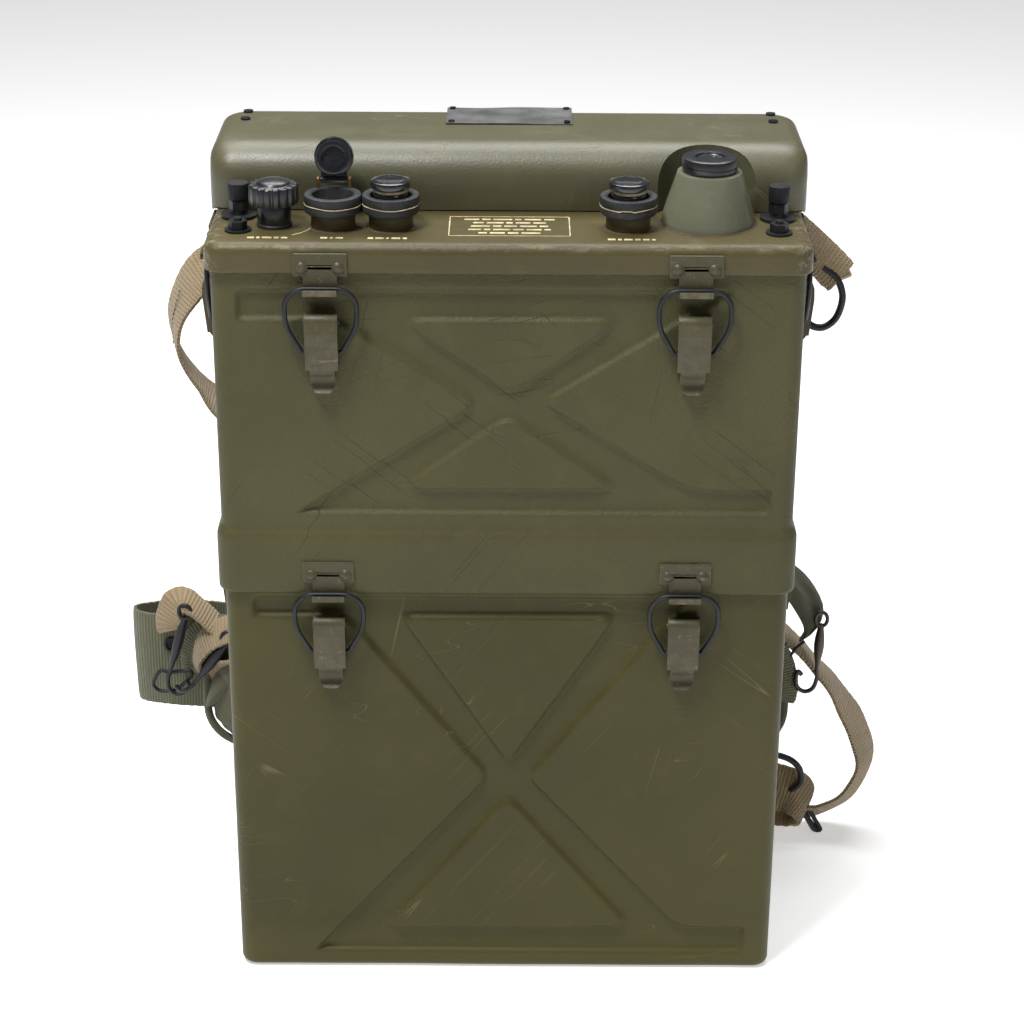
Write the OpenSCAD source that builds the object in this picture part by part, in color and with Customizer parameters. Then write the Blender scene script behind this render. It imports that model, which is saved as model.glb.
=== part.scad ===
// Backpack radio set: a battery case, an upper case with a control panel, a hinged tuning cover,
// eight over-centre latches and a webbing harness. +Z is up and the front looks along -Y.
// The origin is the middle of the battery case's bottom face.

/* [Cases] */
// Width of the battery case
battery_w = 279; // [270:1:290]
// Depth of the battery case
battery_d = 129; // [120:1:140]
// Height of the battery case, neck included
battery_h = 246; // [236:1:250]
// Thickness of the pressed case walls
case_wall = 2.6; // [2.2:0.1:3]
// Radius of the upright case corners
corner_r = 8; // [5:0.5:12]
// Height of the skirt's lower edge
skirt_z = 221; // [210:1:225]
// Height of the skirt
skirt_h = 32; // [25:1:34]
// Height of the top edge of the upper case
upper_top_z = 396; // [395:0.5:396]
// Depth of the pressed channels in the front walls
channel_depth = 1.7; // [1:0.1:1.8]

/* [Control panel] */
// How far the panel rim and the skirt stand out past the case below
overhang = 2.5; // [2:0.1:3]
// Height of the panel's top face
panel_z = 400; // [400:1:400]
// Height of the panel rim
rim_h = 14; // [12:0.5:14]
// Thickness of the panel plate
panel_t = 2.4; // [2:0.1:2.4]

/* [Tuning cover] */
// Height of the cover above the panel
cover_h = 31; // [30:0.5:34]
// Where the front wall of the cover stands
cover_front_y = -13.6; // [-14:0.1:-12]
// Where the back wall of the cover stands
cover_back_y = 67; // [66:0.5:67]
// Wall of the cover
cover_wall = 1.6; // [1.2:0.1:2]
// Radius of the long front top edge
cover_edge_r = 20; // [12:1:20]

/* [Controls] */
// Diameter of the volume knob
volume_d = 23.5; // [20:0.5:24]
// Outer diameter of a jack collar
collar_d = 21; // [20.5:0.1:22]
// Bore of a jack
jack_bore_d = 12.4; // [11:0.1:14]
// Outer diameter of a rubber jack boot
boot_d = 27.2; // [25:0.1:27.4]
// Bore of the antenna socket
antenna_bore_d = 12.4; // [10:0.1:13]
// Diameter of the foot of the antenna insulator
insulator_d = 45.5; // [42:0.5:46]
// How far the microphone jack's cap stands open at rest
mic_cap_open = 100; // [0:5:100]

/* [Latches] */
// Width of a latch lever
lever_w = 15.6; // [15:0.1:16]
// Diameter of the bail wire
bail_wire_d = 2.4; // [2:0.1:2.4]
// Distance of the front latches from the middle
latch_x = 87.5; // [80:0.5:90]
// Where the side latches of the upper case stand
side_latch_y = -12; // [-20:1:10]
// Where the side latches of the battery case stand
low_side_latch_y = 5; // [-20:1:10]

/* [Harness] */
// Width of the waist belt
belt_w = 57; // [50:1:60]
// Width of the back pad
pad_w = 320; // [300:2:324]
// Width of the adjusting straps
strap_w = 25; // [20:1:26]

/* [Hidden] */
$fn = 64;
eps = 0.01;
run_gap = 0.05;            // radial clearance of a pin or shaft in its hole
battery_x = battery_w / 2;
battery_y = battery_d / 2;
upper_x = 140;
upper_y = 65;
skirt_x = battery_x + overhang;
skirt_y = battery_y + overhang;
rim_x = upper_x + overhang;
rim_y = upper_y + overhang;
rim_z = panel_z - rim_h;
floor_z = 250;
floor_t = 1.6;
plate_z = panel_z - panel_t;

// Places on the panel: [x, y]
VOLUME = [-110.8, -37.8];
JACKS = [[-82.9, -38.5], [-55.6, -38.5], [56.5, -38.5]];
ANTENNA = [95, -28.8];
POST = [129, -23.6];
STUD = [127.3, -46];
TUNING = [0, 22];
DIAL = [-45, 22];
TRIM = [95, 32];
SQUELCH = [-112, 22];
WINDOW = [14, 18];
window_x = -73;

// Shafts and knobs
shaft_r = 3;
small_shaft_r = 2.5;
bushing_r = 8;
neck_r = 5;
bushing_top = 410.4;
knob_z = 411;
knob_h = 9.6;

// Jacks and caps
collar_h = 7.5;
boot_z = panel_z + collar_h;
boot_h = 8.5;
boot_top = boot_z + boot_h;
boot_bore_r = 9.75;
cap_r = 9.4;
cap_z = 419.2;
plug_z = 414.6;
plug_top = 416.9;
cap_hinge_y = 10.8;        // hinge axis behind the jack's centre
cap_hinge_z = 419.5;
cap_pin_r = 0.7;
cap_knuckle_r = 1.7;
seal_z = 417.2;
seal_h = 1.6;

// Cover and its hinge
cover_x = 144.6;
cover_z = panel_z + cover_h;
cover_skirt_z = 398;
cover_foot_z = panel_z + 0.6;
cover_side_r = 9;
cover_corner_r = 12;
notch_r = 28;
hinge_y = 70.4;
hinge_z = 402.6;
knuckle_r = 2.6;
hinge_pin_r = 1.25;
hinge_x = 90;
hinge_half = 9;            // half the length of the moving knuckle
hinge_fixed = 12;

// Latch places: [x, y, turn about Z, height of the rivets]
upper_latch_z = 389;
lower_latch_z = 231;
UPPER_LATCHES = [
    [-latch_x, -upper_y, 180, upper_latch_z], [latch_x, -upper_y, 180, upper_latch_z],
    [-upper_x, side_latch_y, 90, upper_latch_z], [upper_x, side_latch_y, -90, upper_latch_z]];
LOWER_LATCHES = [
    [-latch_x, -battery_y, 180, lower_latch_z], [latch_x, -battery_y, 180, lower_latch_z],
    [-battery_x, low_side_latch_y, 90, lower_latch_z], [battery_x, low_side_latch_y, -90, lower_latch_z]];
LATCHES = concat(UPPER_LATCHES, LOWER_LATCHES);

// Latch sizes. y runs out of the wall and z up from the rivets.
PIVOT = [4.6, -26];        // lever pin
BAIL_PIVOT = [5, -41];     // bail ends in the lever
BAIL_BAR = [5.45, -9.6];   // bail bar in the hook
lever_top_r = 4.4;
lever_t = 1.2;
lever_pin_r = 1.5;
bail_r = bail_wire_d / 2;
hook_w = 16;
hook_plate_w = 25;
hook_t = 1.4;
hook_slot = 4.4;
hook_lip = 1.1;
hook_floor_z = -11;
hook_lip_z = -9.2;
rivet_x = 8.5;
ear_x = 5.2;
ear_t = 1.1;
bail_pin = 2.6;
bail_flat = 2.1;

olive = "#5b5740";
olive_light = "#625f49";
black = "#22242a";
steel = "#8a8a86";
cream = "#e6ddb8";
webbing = "#77705a";
tan_web = "#9c8460";

// ---- Helpers ----

// Rectangle with round corners, centred
module rounded(w, d, r) {
    square([w - 2 * r, d], center = true);
    square([w, d - 2 * r], center = true);
    for (x = [-1, 1], y = [-1, 1])
        translate([x * (w / 2 - r), y * (d / 2 - r)])
            circle(r);
}

// Upright block with a rounded plan, from z0 to z1
module block(x, y, r, z0, z1) {
    translate([0, 0, z0])
        linear_extrude(z1 - z0)
            rounded(2 * x, 2 * y, r);
}

module disc(place, r, z0, z1) {
    translate([place[0], place[1], z0])
        cylinder(r = r, h = z1 - z0);
}

// Rod along X
module rod(r, length) {
    rotate([0, 90, 0])
        cylinder(r = r, h = length, center = true);
}

// Extrudes a profile drawn as [y, z] along X, centred
module along_x(length) {
    rotate([90, 0, 90])
        linear_extrude(length, center = true)
            children();
}

// Extrudes an outline drawn as [x, z] along Y, from y0 to y1
module along_y(y0, y1) {
    translate([0, y1, 0])
        rotate([90, 0, 0])
            linear_extrude(y1 - y0)
                children();
}

// Smooth curve through points, with four steps a span
function span_point(p0, p1, p2, p3, t) =
    0.5 * (2 * p1 + (p2 - p0) * t + (2 * p0 - 5 * p1 + 4 * p2 - p3) * t * t
        + (3 * p1 - p0 - 3 * p2 + p3) * t * t * t);
function curve(p) = let (n = len(p) - 1)
    concat([for (i = [0 : n - 1], k = [0 : 3])
        span_point(p[max(i - 1, 0)], p[i], p[i + 1], p[min(i + 2, n)], k / 4)], [p[n]]);
function side_of(c, i, off) = let (
    a = c[max(i - 1, 0)],
    b = c[min(i + 1, len(c) - 1)],
    d = (b - a) / norm(b - a))
    c[i] + off * [-d[1], d[0]];

// Flat band of one width along a smooth curve
module band(points, width) {
    c = curve(points);
    n = len(c) - 1;
    polygon(concat([for (i = [0 : n]) side_of(c, i, width / 2)],
        [for (i = [n : -1 : 0]) side_of(c, i, -width / 2)]));
}

// Corner points of a wire in the XY plane. It starts at p heading at angle a, and each step is
// [length, bend radius, bend angle]. A bend is cut into chords of about 18 degrees.
function arc_points(p, a, r, turn) = let (
    n = max(1, round(abs(turn) / 18)),
    s = sign(turn),
    c = p + s * r * [-sin(a), cos(a)])
    [for (k = [1 : n]) let (b = a + turn * k / n) c - s * r * [-sin(b), cos(b)]];
function wire_points(steps, p = [0, 0], a = 0, i = 0) = i == len(steps) ? [p] : let (
    s = steps[i],
    q = p + s[0] * [cos(a), sin(a)],
    bend = s[2] == 0 ? [] : arc_points(q, a, s[1], s[2]),
    last = s[2] == 0 ? q : bend[len(bend) - 1],
    inner = [for (k = [0 : 1 : len(bend) - 2]) bend[k]])
    concat([p], s[2] == 0 ? [] : concat([q], inner), wire_points(steps, last, a + s[2], i + 1));

// ---- Cases ----

// Pressed channels of a front wall, drawn as [x, z]: a frame crossed by two diagonals
module channels(z0, z1, band_h, top_x, bottom_x, top_tip, bottom_tip, inner) {
    outer = 126;
    island_x = 84;
    middle = (z0 + z1) / 2 + inner;
    difference() {
        translate([-outer, z0])
            square([2 * outer, z1 - z0]);
        polygon([[-top_x, z1 - band_h], [top_x, z1 - band_h], [0, top_tip]]);
        polygon([[-bottom_x, z0 + band_h], [bottom_x, z0 + band_h], [0, bottom_tip]]);
        for (s = [-1, 1])
            polygon([[s * (outer + 1), z1 - band_h], [s * island_x, z1 - band_h], [s * 15, middle],
                [s * (island_x + 4), z0 + band_h], [s * (outer + 1), z0 + band_h]]);
    }
}

module battery_case() {
    color(olive)
    difference() {
        block(battery_x, battery_y, corner_r, 0, battery_h);
        block(battery_x - case_wall, battery_y - case_wall, corner_r - case_wall, case_wall, battery_h + 1);
        along_y(-battery_y - 1, -battery_y + channel_depth)
            channels(10, 217.5, 12, 54, 65, 125, 102.5, 2);
    }
}

module upper_case() {
    wall = case_wall - 0.3;
    color(olive_light)
    difference() {
        union() {
            block(upper_x, upper_y, corner_r, floor_z, upper_top_z);
            block(skirt_x, skirt_y, corner_r, skirt_z, skirt_z + skirt_h);
        }
        block(skirt_x - 2, skirt_y - 2, corner_r - 2, skirt_z - 1, floor_z);
        block(upper_x - wall, upper_y - wall, corner_r - wall, floor_z + floor_t, upper_top_z + 1);
        block(45, 30, 4, floor_z - 1, floor_z + floor_t + 1);
        along_y(-upper_y - 1, -upper_y + channel_depth)
            channels(263, 377.2, 13, 52.5, 53.5, 326.6, 312.3, 1);
    }
}

// Plate with a turned-down rim; every control passes through it
module control_panel() {
    color(olive)
    difference() {
        block(rim_x, rim_y, corner_r, rim_z, panel_z);
        block(upper_x + 0.3, upper_y + 0.3, corner_r, rim_z - 1, plate_z);
        disc(VOLUME, neck_r, plate_z - 1, panel_z + 1);
        disc(TUNING, shaft_r + run_gap, plate_z - 1, panel_z + 1);
        disc(TRIM, neck_r, plate_z - 1, panel_z + 1);
        disc(SQUELCH, neck_r, plate_z - 1, panel_z + 1);
        translate([window_x - WINDOW[0] / 2, DIAL[1] - WINDOW[1] / 2, plate_z - 1])
            cube([WINDOW[0], WINDOW[1], panel_t + 2]);
    }
}

module case_gaskets() {
    color(black) {
        difference() {
            block(battery_x, battery_y, corner_r, battery_h, floor_z);
            block(battery_x - case_wall, battery_y - case_wall, corner_r - case_wall, battery_h - 1,
                floor_z + 1);
        }
        difference() {
            block(upper_x, upper_y, corner_r, upper_top_z, plate_z);
            block(upper_x - 2, upper_y - 2, corner_r - 2, upper_top_z - 1, plate_z + 1);
        }
    }
}

// ---- Tuning cover ----

// Domed block of the cover, shrunk by inset for the inside
module cover_block(inset, z0) {
    top = cover_z - inset;
    front = cover_front_y + inset;
    back = cover_back_y - inset;
    half = cover_x - inset;
    edge = cover_edge_r - inset;
    side = cover_side_r - inset;
    plan = cover_corner_r - inset;
    intersection() {
        along_x(2 * half + 2) {
            translate([front, z0])
                square([back - front, top - edge - z0]);
            translate([front + edge, z0])
                square([back - front - edge, top - z0]);
            translate([front + edge, top - edge])
                circle(edge);
        }
        along_y(front - 1, back + 1) {
            translate([-half, z0])
                square([2 * half, top - side - z0]);
            translate([side - half, z0])
                square([2 * (half - side), top - z0]);
            for (s = [-1, 1])
                translate([s * (half - side), top - side])
                    circle(side);
        }
        translate([0, (front + back) / 2, 0])
            block(half, (back - front) / 2, plan, z0, top);
    }
}

module hinge_knuckle(x, length, bore_r) {
    translate([x, hinge_y, hinge_z])
        difference() {
            rod(knuckle_r, length);
            rod(bore_r, length + 1);
        }
}

module tuning_cover() {
    leaf_t = 1.6;
    leaf_h = 13;
    color(olive_light) {
        difference() {
            cover_block(0, cover_skirt_z);
            cover_block(cover_wall, cover_skirt_z - 1);
            translate([-rim_x - 0.3, cover_front_y - 1, cover_skirt_z - 1])
                cube([2 * (rim_x + 0.3), cover_back_y - cover_front_y + 2,
                    cover_foot_z - cover_skirt_z + 1]);
            disc(ANTENNA, notch_r, cover_skirt_z - 1, cover_z + 1);
        }
        // wall round the notch
        intersection() {
            cover_block(0, cover_foot_z);
            difference() {
                disc(ANTENNA, notch_r + cover_wall, cover_foot_z, cover_z);
                disc(ANTENNA, notch_r, cover_foot_z - 1, cover_z + 1);
            }
        }
        // moving leaves and knuckles
        for (s = [-1, 1]) {
            translate([s * hinge_x - 2 * hinge_half, cover_back_y, hinge_z + knuckle_r + 0.4])
                cube([4 * hinge_half, leaf_t, leaf_h]);
            difference() {
                translate([s * hinge_x - hinge_half + 0.2, cover_back_y, hinge_z])
                    cube([2 * hinge_half - 0.4, hinge_y - cover_back_y, knuckle_r + 1]);
                translate([s * hinge_x, hinge_y, hinge_z])
                    rod(knuckle_r - 0.5, 2 * hinge_half + 1);
            }
            hinge_knuckle(s * hinge_x, 2 * hinge_half - 0.4, hinge_pin_r + run_gap);
        }
    }
}

// Fixed leaves on the back of the panel rim
module cover_hinge() {
    leaf_t = 1.4;
    color(olive)
    for (s = [-1, 1]) {
        translate([s * hinge_x - hinge_half - hinge_fixed, rim_y, rim_z + 2])
            cube([2 * (hinge_half + hinge_fixed), leaf_t, hinge_z - knuckle_r - 0.5 - rim_z - 2]);
        for (e = [-1, 1]) {
            x = s * hinge_x + e * (hinge_half + hinge_fixed / 2);
            hinge_knuckle(x, hinge_fixed, hinge_pin_r);
            difference() {
                translate([x - hinge_fixed / 2, rim_y, rim_z + 6])
                    cube([hinge_fixed, hinge_y - rim_y, hinge_z - rim_z - 6]);
                translate([x, hinge_y, hinge_z])
                    rod(knuckle_r - 0.5, hinge_fixed + 1);
            }
        }
    }
}

module cover_hinge_pins() {
    color(steel)
    for (s = [-1, 1])
        translate([s * hinge_x, hinge_y, hinge_z])
            rod(hinge_pin_r, 2 * (hinge_half + hinge_fixed));
}

module screw_head(r, h) {
    difference() {
        cylinder(r = r, h = h);
        translate([-r, -0.4, h - 0.5])
            cube([2 * r, 0.8, 1]);
    }
}

// Two screws at each end of the top, and four that hold the plate
module cover_screws() {
    plate_top = cover_z + 0.8;
    color(black) {
        for (s = [-1, 1], y = [38, 52])
            translate([s * 131, y, cover_z])
                screw_head(2.4, 1);
        for (s = [-1, 1], y = [32.5, 58])
            translate([s * 28.6, y, plate_top])
                screw_head(1.6, 0.8);
    }
}

module nameplate() {
    color("silver")
    translate([-31.5, 29.8, cover_z])
        cube([63, 31, 0.8]);
}

// ---- Panel controls ----

// Potentiometer or trimmer body under the panel with its threaded neck and a bearing for the shaft
module control_body(place, bushing, top, bearing_r) {
    difference() {
        union() {
            disc(place, 11, plate_z - 14, plate_z);
            disc(place, neck_r, plate_z - eps, panel_z + eps);
            disc(place, bushing, panel_z, top);
        }
        disc(place, bearing_r + run_gap, plate_z - 9, top + 1);
    }
}

module rotary_controls() {
    color(black) {
        control_body(VOLUME, bushing_r, bushing_top, shaft_r);
        control_body(TRIM, 6.5, panel_z + 3, small_shaft_r);
        control_body(SQUELCH, 6.5, panel_z + 3, small_shaft_r);
    }
}

// Knob with rounded flutes
module fluted_knob(r, h, flutes, flute_r) {
    linear_extrude(h)
        difference() {
            circle(r);
            for (i = [0 : flutes - 1])
                rotate(i * 360 / flutes)
                    translate([r + flute_r * 0.45, 0])
                        circle(flute_r);
        }
}

module volume_knob() {
    dome_r = 8;
    dome_sphere = 16;
    color(black)
    translate([VOLUME[0], VOLUME[1], 0]) {
        translate([0, 0, knob_z])
            fluted_knob(volume_d / 2, knob_h, 16, 1.5);
        translate([0, 0, knob_z + knob_h])
            intersection() {
                cylinder(r = dome_r, h = 4);
                translate([0, 0, 2.4 - dome_sphere])
                    sphere(dome_sphere);
            }
        translate([0, 0, plate_z - 8.5])
            cylinder(r = shaft_r, h = knob_z - plate_z + 8.5 + 1);
    }
}

module jack_collars() {
    color(olive)
    for (p = JACKS)
        difference() {
            disc(p, collar_d / 2, panel_z, boot_z);
            disc(p, jack_bore_d / 2, panel_z + 1, boot_z + 1);
        }
}

// Rubber rings that seal round a plug, each with two ears at the back for the cap's pin
module jack_boots() {
    ear_w = 1.6;
    color(black)
    for (p = JACKS) {
        difference() {
            disc(p, boot_d / 2, boot_z, boot_top);
            disc(p, boot_bore_r, boot_z - 1, boot_top + 1);
            translate([p[0], p[1], boot_z + 3.4])
                rotate_extrude()
                    translate([boot_d / 2 - 0.5, 0])
                        square([2, 1]);
        }
        for (s = [-1, 1])
            translate([p[0] + s * 7.4, p[1] + cap_hinge_y, 0])
                difference() {
                    union() {
                        translate([-ear_w / 2, -cap_knuckle_r, boot_top - eps])
                            cube([ear_w, 2 * cap_knuckle_r, cap_hinge_z - boot_top]);
                        translate([0, 0, cap_hinge_z])
                            rod(cap_knuckle_r, ear_w);
                    }
                    translate([0, 0, cap_hinge_z])
                        rod(cap_pin_r, ear_w + 1);
                }
    }
}

// Turns children about the hinge of a jack's cap
module cap_turn(jack, angle) {
    translate([jack[0], jack[1] + cap_hinge_y, cap_hinge_z])
        rotate([-angle, 0, 0])
            translate([0, -cap_hinge_y, -cap_hinge_z])
                children();
}

// Cap with a stepped plug, an arm and its pin
module cap(jack, angle) {
    arm_w = 12.6;
    color(black)
    cap_turn(jack, angle) {
        translate([0, 0, plug_z])
            cylinder(r = 8.2, h = plug_top - plug_z);
        translate([0, 0, plug_top - eps])
            cylinder(r = 6.6, h = cap_z - plug_top + 2 * eps);
        translate([0, 0, cap_z])
            cylinder(r = cap_r, h = 3.2);
        translate([0, 0, cap_z + 3.2 - eps])
            cylinder(r1 = cap_r - 0.4, r2 = cap_r - 3, h = 0.6);
        translate([-arm_w / 2, 6, cap_z])
            cube([arm_w, cap_hinge_y - 6, 2]);
        translate([0, cap_hinge_y, cap_hinge_z]) {
            rod(cap_knuckle_r, arm_w);
            rod(cap_pin_r - 0.04, 16.2);
        }
    }
}

module cap_seal(jack, angle) {
    color(cream)
    cap_turn(jack, angle)
        translate([0, 0, seal_z])
            difference() {
                cylinder(r = 7.8, h = seal_h);
                translate([0, 0, -1])
                    cylinder(r = 6.6, h = seal_h + 2);
            }
}

module mic_cap() { cap(JACKS[0], mic_cap_open); }
module phone_cap() { cap(JACKS[1], 0); }
module aux_cap() { cap(JACKS[2], 0); }
module mic_cap_seal() { cap_seal(JACKS[0], mic_cap_open); }
module phone_cap_seal() { cap_seal(JACKS[1], 0); }
module aux_cap_seal() { cap_seal(JACKS[2], 0); }

// ---- Antenna socket and binding posts ----

sleeve_r = 8;
insulator_top = 425;
antenna_top = 432.5;

module antenna_insulator() {
    color(olive_light)
    translate([ANTENNA[0], ANTENNA[1], panel_z])
        difference() {
            cylinder(r1 = insulator_d / 2, r2 = 15.25, h = insulator_top - panel_z);
            translate([0, 0, -1])
                cylinder(r = sleeve_r, h = insulator_top - panel_z + 2);
        }
}

module antenna_cap() {
    color(black)
    difference() {
        disc(ANTENNA, 13.25, insulator_top, antenna_top);
        disc(ANTENNA, sleeve_r, insulator_top - 1, antenna_top - 1.5);
        disc(ANTENNA, antenna_bore_d / 2 + 0.4, antenna_top - 2, antenna_top + 1);
    }
}

module antenna_socket() {
    color(steel)
    difference() {
        disc(ANTENNA, sleeve_r, panel_z, antenna_top - 1.5);
        disc(ANTENNA, antenna_bore_d / 2, panel_z + 3, antenna_top);
    }
}

stud_r = 2.2;

// Tall posts with a washer and a hex collar, and short studs with a hex nut
module binding_posts() {
    color(black)
    for (s = [-1, 1]) {
        translate([s * POST[0], POST[1], panel_z]) {
            cylinder(r = 8.8, h = 1.6);
            cylinder(r = 4.2, h = 3.6);
            translate([0, 0, 3.6])
                cylinder(r = 4.8, h = 4.8, $fn = 6);
            cylinder(r = stud_r, h = 14);
        }
        translate([s * STUD[0], STUD[1], panel_z]) {
            cylinder(r = 6.3, h = 1);
            translate([0, 0, 1])
                cylinder(r = 4.5, h = 4, $fn = 6);
            cylinder(r = 2, h = 6.4);
        }
    }
}

module thumb_nut(s) {
    color(black)
    translate([s * POST[0], POST[1], panel_z + 9])
        difference() {
            fluted_knob(5, 7.7, 30, 0.4);
            translate([0, 0, -1])
                cylinder(r = stud_r + run_gap, h = 6.4);
        }
}

module left_thumb_nut() { thumb_nut(-1); }
module right_thumb_nut() { thumb_nut(1); }

// ---- Controls under the cover ----

gear_z = 386;
gear_h = 3;
tooth_m = 1.25;
gear_teeth = 60;
pinion_teeth = 12;

// Spur gear with narrow straight-flanked teeth
module gear(teeth, turn) {
    pitch = teeth * tooth_m / 2;
    linear_extrude(gear_h) {
        circle(pitch - tooth_m);
        for (i = [0 : teeth - 1])
            rotate(turn + i * 360 / teeth)
                polygon([[pitch - tooth_m - 0.4, -0.85], [pitch + 0.8, -0.42],
                    [pitch + 0.8, 0.42], [pitch - tooth_m - 0.4, 0.85]]);
    }
}

module tuning_knob() {
    color(black)
    translate([TUNING[0], TUNING[1], 0])
        difference() {
            union() {
                translate([0, 0, 402])
                    cylinder(r = 20, h = 4);
                translate([0, 0, 406 - eps])
                    fluted_knob(16, 14, 24, 1.4);
            }
            translate([0, 0, 401])
                cylinder(r = shaft_r, h = 14);
        }
}

module tuning_shaft() {
    color(steel)
    translate([TUNING[0], TUNING[1], 0]) {
        translate([0, 0, 382])
            cylinder(r = shaft_r, h = 33);
        translate([0, 0, gear_z])
            gear(pinion_teeth, 0);
    }
}

// Dial plate under the window
module tuning_dial() {
    color(cream)
    difference() {
        disc(DIAL, 36, 393, 394.4);
        disc(DIAL, shaft_r, 392, 396);
    }
}

module dial_window() {
    color("lightblue")
    translate([window_x - WINDOW[0] / 2, DIAL[1] - WINDOW[1] / 2, plate_z])
        cube([WINDOW[0], WINDOW[1], panel_t - 0.6]);
}

module small_knob(place) {
    color(black)
    translate([place[0], place[1], 0]) {
        translate([0, 0, panel_z + 4])
            fluted_knob(11, 13, 20, 1);
        translate([0, 0, plate_z - 8.5])
            cylinder(r = small_shaft_r, h = panel_z + 5 - plate_z + 8.5);
    }
}

module antenna_trim_knob() { small_knob(TRIM); }
module squelch_knob() { small_knob(SQUELCH); }

// ---- Chassis and battery ----

deck_z = 320;
VALVES = [for (x = [15 : 22 : 103], y = [-33, -11]) [x, y]];

// Two side plates hung from the panel, a deck and the plug bracket
module chassis() {
    side_x = 124;
    side_y = 50;
    t = 1.5;
    color(steel) {
        difference() {
            union() {
                translate([-side_x, -side_y, deck_z - t])
                    cube([2 * side_x, 2 * side_y, t]);
                for (s = [-1, 1])
                    translate([s * side_x - t / 2, -side_y, 264])
                        cube([t, 2 * side_y, plate_z - 264]);
            }
            for (p = VALVES)
                disc(p, 6, deck_z - t - 1, deck_z + 1);
        }
        for (s = [-1, 1])
            translate([s * 30 - 1, -20, 253])
                cube([2, 40, deck_z - t - 253]);
    }
}

// Glass valves with a moulded base, in two rows on the deck
module valves() {
    color("lightgrey")
    for (p = VALVES) {
        disc(p, 9, deck_z, deck_z + 12);
        disc(p, 8.2, deck_z + 12 - eps, deck_z + 40);
        translate([p[0], p[1], deck_z + 40])
            cylinder(r1 = 8.2, r2 = 3, h = 5);
    }
}

module if_cans() {
    color("silver")
    for (x = [12 : 26 : 90])
        translate([x, 14, deck_z])
            cube([20, 20, 42]);
}

frame_x = 24;
frame_y = 24;
frame_low = 330;
frame_high = 376;

// Open frame with a bearing at each end and the fixed plates
module capacitor_frame() {
    color("silver")
    translate([DIAL[0], DIAL[1], 0]) {
        for (z = [frame_low, frame_high])
            translate([0, 0, z])
                difference() {
                    translate([-frame_x, -frame_y, 0])
                        cube([2 * frame_x, 2 * frame_y, 2]);
                    translate([0, 0, -1])
                        cylinder(r = shaft_r + run_gap, h = 4);
                }
        for (x = [-1, 1], y = [-1, 1])
            translate([x * (frame_x - 2), y * (frame_y - 2), deck_z])
                cylinder(r = 2, h = frame_high + 1 - deck_z);
        for (i = [0 : 3])
            translate([-frame_x + 1, -frame_y + 4, frame_low + 8 + i * 9])
                cube([frame_x - 6, 2 * frame_y - 8, 1.2]);
    }
}

// Shaft with its half-round plates and the driven gear
module capacitor_rotor() {
    color("silver")
    translate([DIAL[0], DIAL[1], 0]) {
        translate([0, 0, frame_low])
            cylinder(r = shaft_r, h = 395 - frame_low);
        for (i = [0 : 3])
            translate([0, 0, frame_low + 12 + i * 9])
                rotate(-90)
                    rotate_extrude(angle = 180)
                        square([18, 1.2]);
        translate([0, 0, gear_z])
            gear(gear_teeth, 180 / gear_teeth);
    }
}

module battery_pack() {
    color("#8a7350") {
        translate([-132, -58, 3])
            cube([264, 116, 212]);
        translate([-28, -18, 215 - eps])
            cube([56, 36, 26]);
    }
}

// ---- Latches ----

module at_latch(p) {
    translate([p[0], p[1], p[3]])
        rotate(p[2])
            children();
}

// Plate with a hook rolled up along its lower edge
module latch_hook() {
    plate_top = 7;
    outer = hook_t + hook_slot + hook_lip;
    translate([0, overhang, 0]) {
        translate([-hook_plate_w / 2, 0, -4])
            cube([hook_plate_w, hook_t, plate_top + 4]);
        translate([-hook_w / 2, 0, hook_floor_z])
            cube([hook_w, hook_t, 8]);
        translate([-hook_w / 2, 0, hook_floor_z - hook_lip])
            cube([hook_w, outer, hook_lip]);
        translate([-hook_w / 2, outer - hook_lip, hook_floor_z - eps])
            cube([hook_w, hook_lip, hook_lip_z - hook_floor_z]);
    }
}

module latch_hooks() {
    color(olive)
    for (p = LATCHES)
        at_latch(p)
            difference() {
                latch_hook();
                for (s = [-1, 1])
                    translate([s * rivet_x, overhang - 1, 0])
                        rotate([-90, 0, 0])
                            cylinder(r = 1.6, h = 4);
            }
}

module latch_rivets() {
    head_r = 3;
    head_h = 1.6;
    ball = (head_r * head_r + head_h * head_h) / (2 * head_h);
    color(olive)
    for (p = LATCHES, s = [-1, 1])
        at_latch(p)
            translate([s * rivet_x, overhang, 0])
                rotate([-90, 0, 0]) {
                    cylinder(r = 1.6, h = hook_t);
                    translate([0, 0, hook_t])
                        intersection() {
                            cylinder(r = head_r, h = head_h + 1);
                            translate([0, 0, head_h - ball])
                                sphere(ball);
                        }
                }
}

// Plate on the wall with two ears and the lever's pin
module latch_brackets() {
    ear_r = 2.5;
    foot = 1.2;
    color(olive)
    for (p = LATCHES)
        at_latch(p) {
            translate([-ear_x - ear_t, 0, PIVOT[1] - ear_r - 11])
                cube([2 * (ear_x + ear_t), foot, 11]);
            for (s = [-1, 1])
                translate([s * (ear_x + ear_t / 2), 0, 0]) {
                    translate([-ear_t / 2, 0, PIVOT[1] - ear_r])
                        cube([ear_t, PIVOT[0], 2 * ear_r]);
                    translate([0, PIVOT[0], PIVOT[1]])
                        rod(ear_r, ear_t);
                    translate([-ear_t / 2, 0, PIVOT[1] - ear_r - 4])
                        cube([ear_t, foot, 5]);
                }
            translate([0, PIVOT[0], PIVOT[1]])
                rod(lever_pin_r, lever_w + 1.2);
        }
}

// Side outline of the lever, drawn as [y, z]
module lever_side() {
    translate(PIVOT)
        circle(lever_top_r);
    polygon([[PIVOT[0] + lever_top_r, PIVOT[1]], [9.2, -31], [7.4, -49.5], [3.2, -49.5],
        [1.2, -44], [0.4, PIVOT[1] - 2], [PIVOT[0] - 4, PIVOT[1]]]);
}

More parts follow.
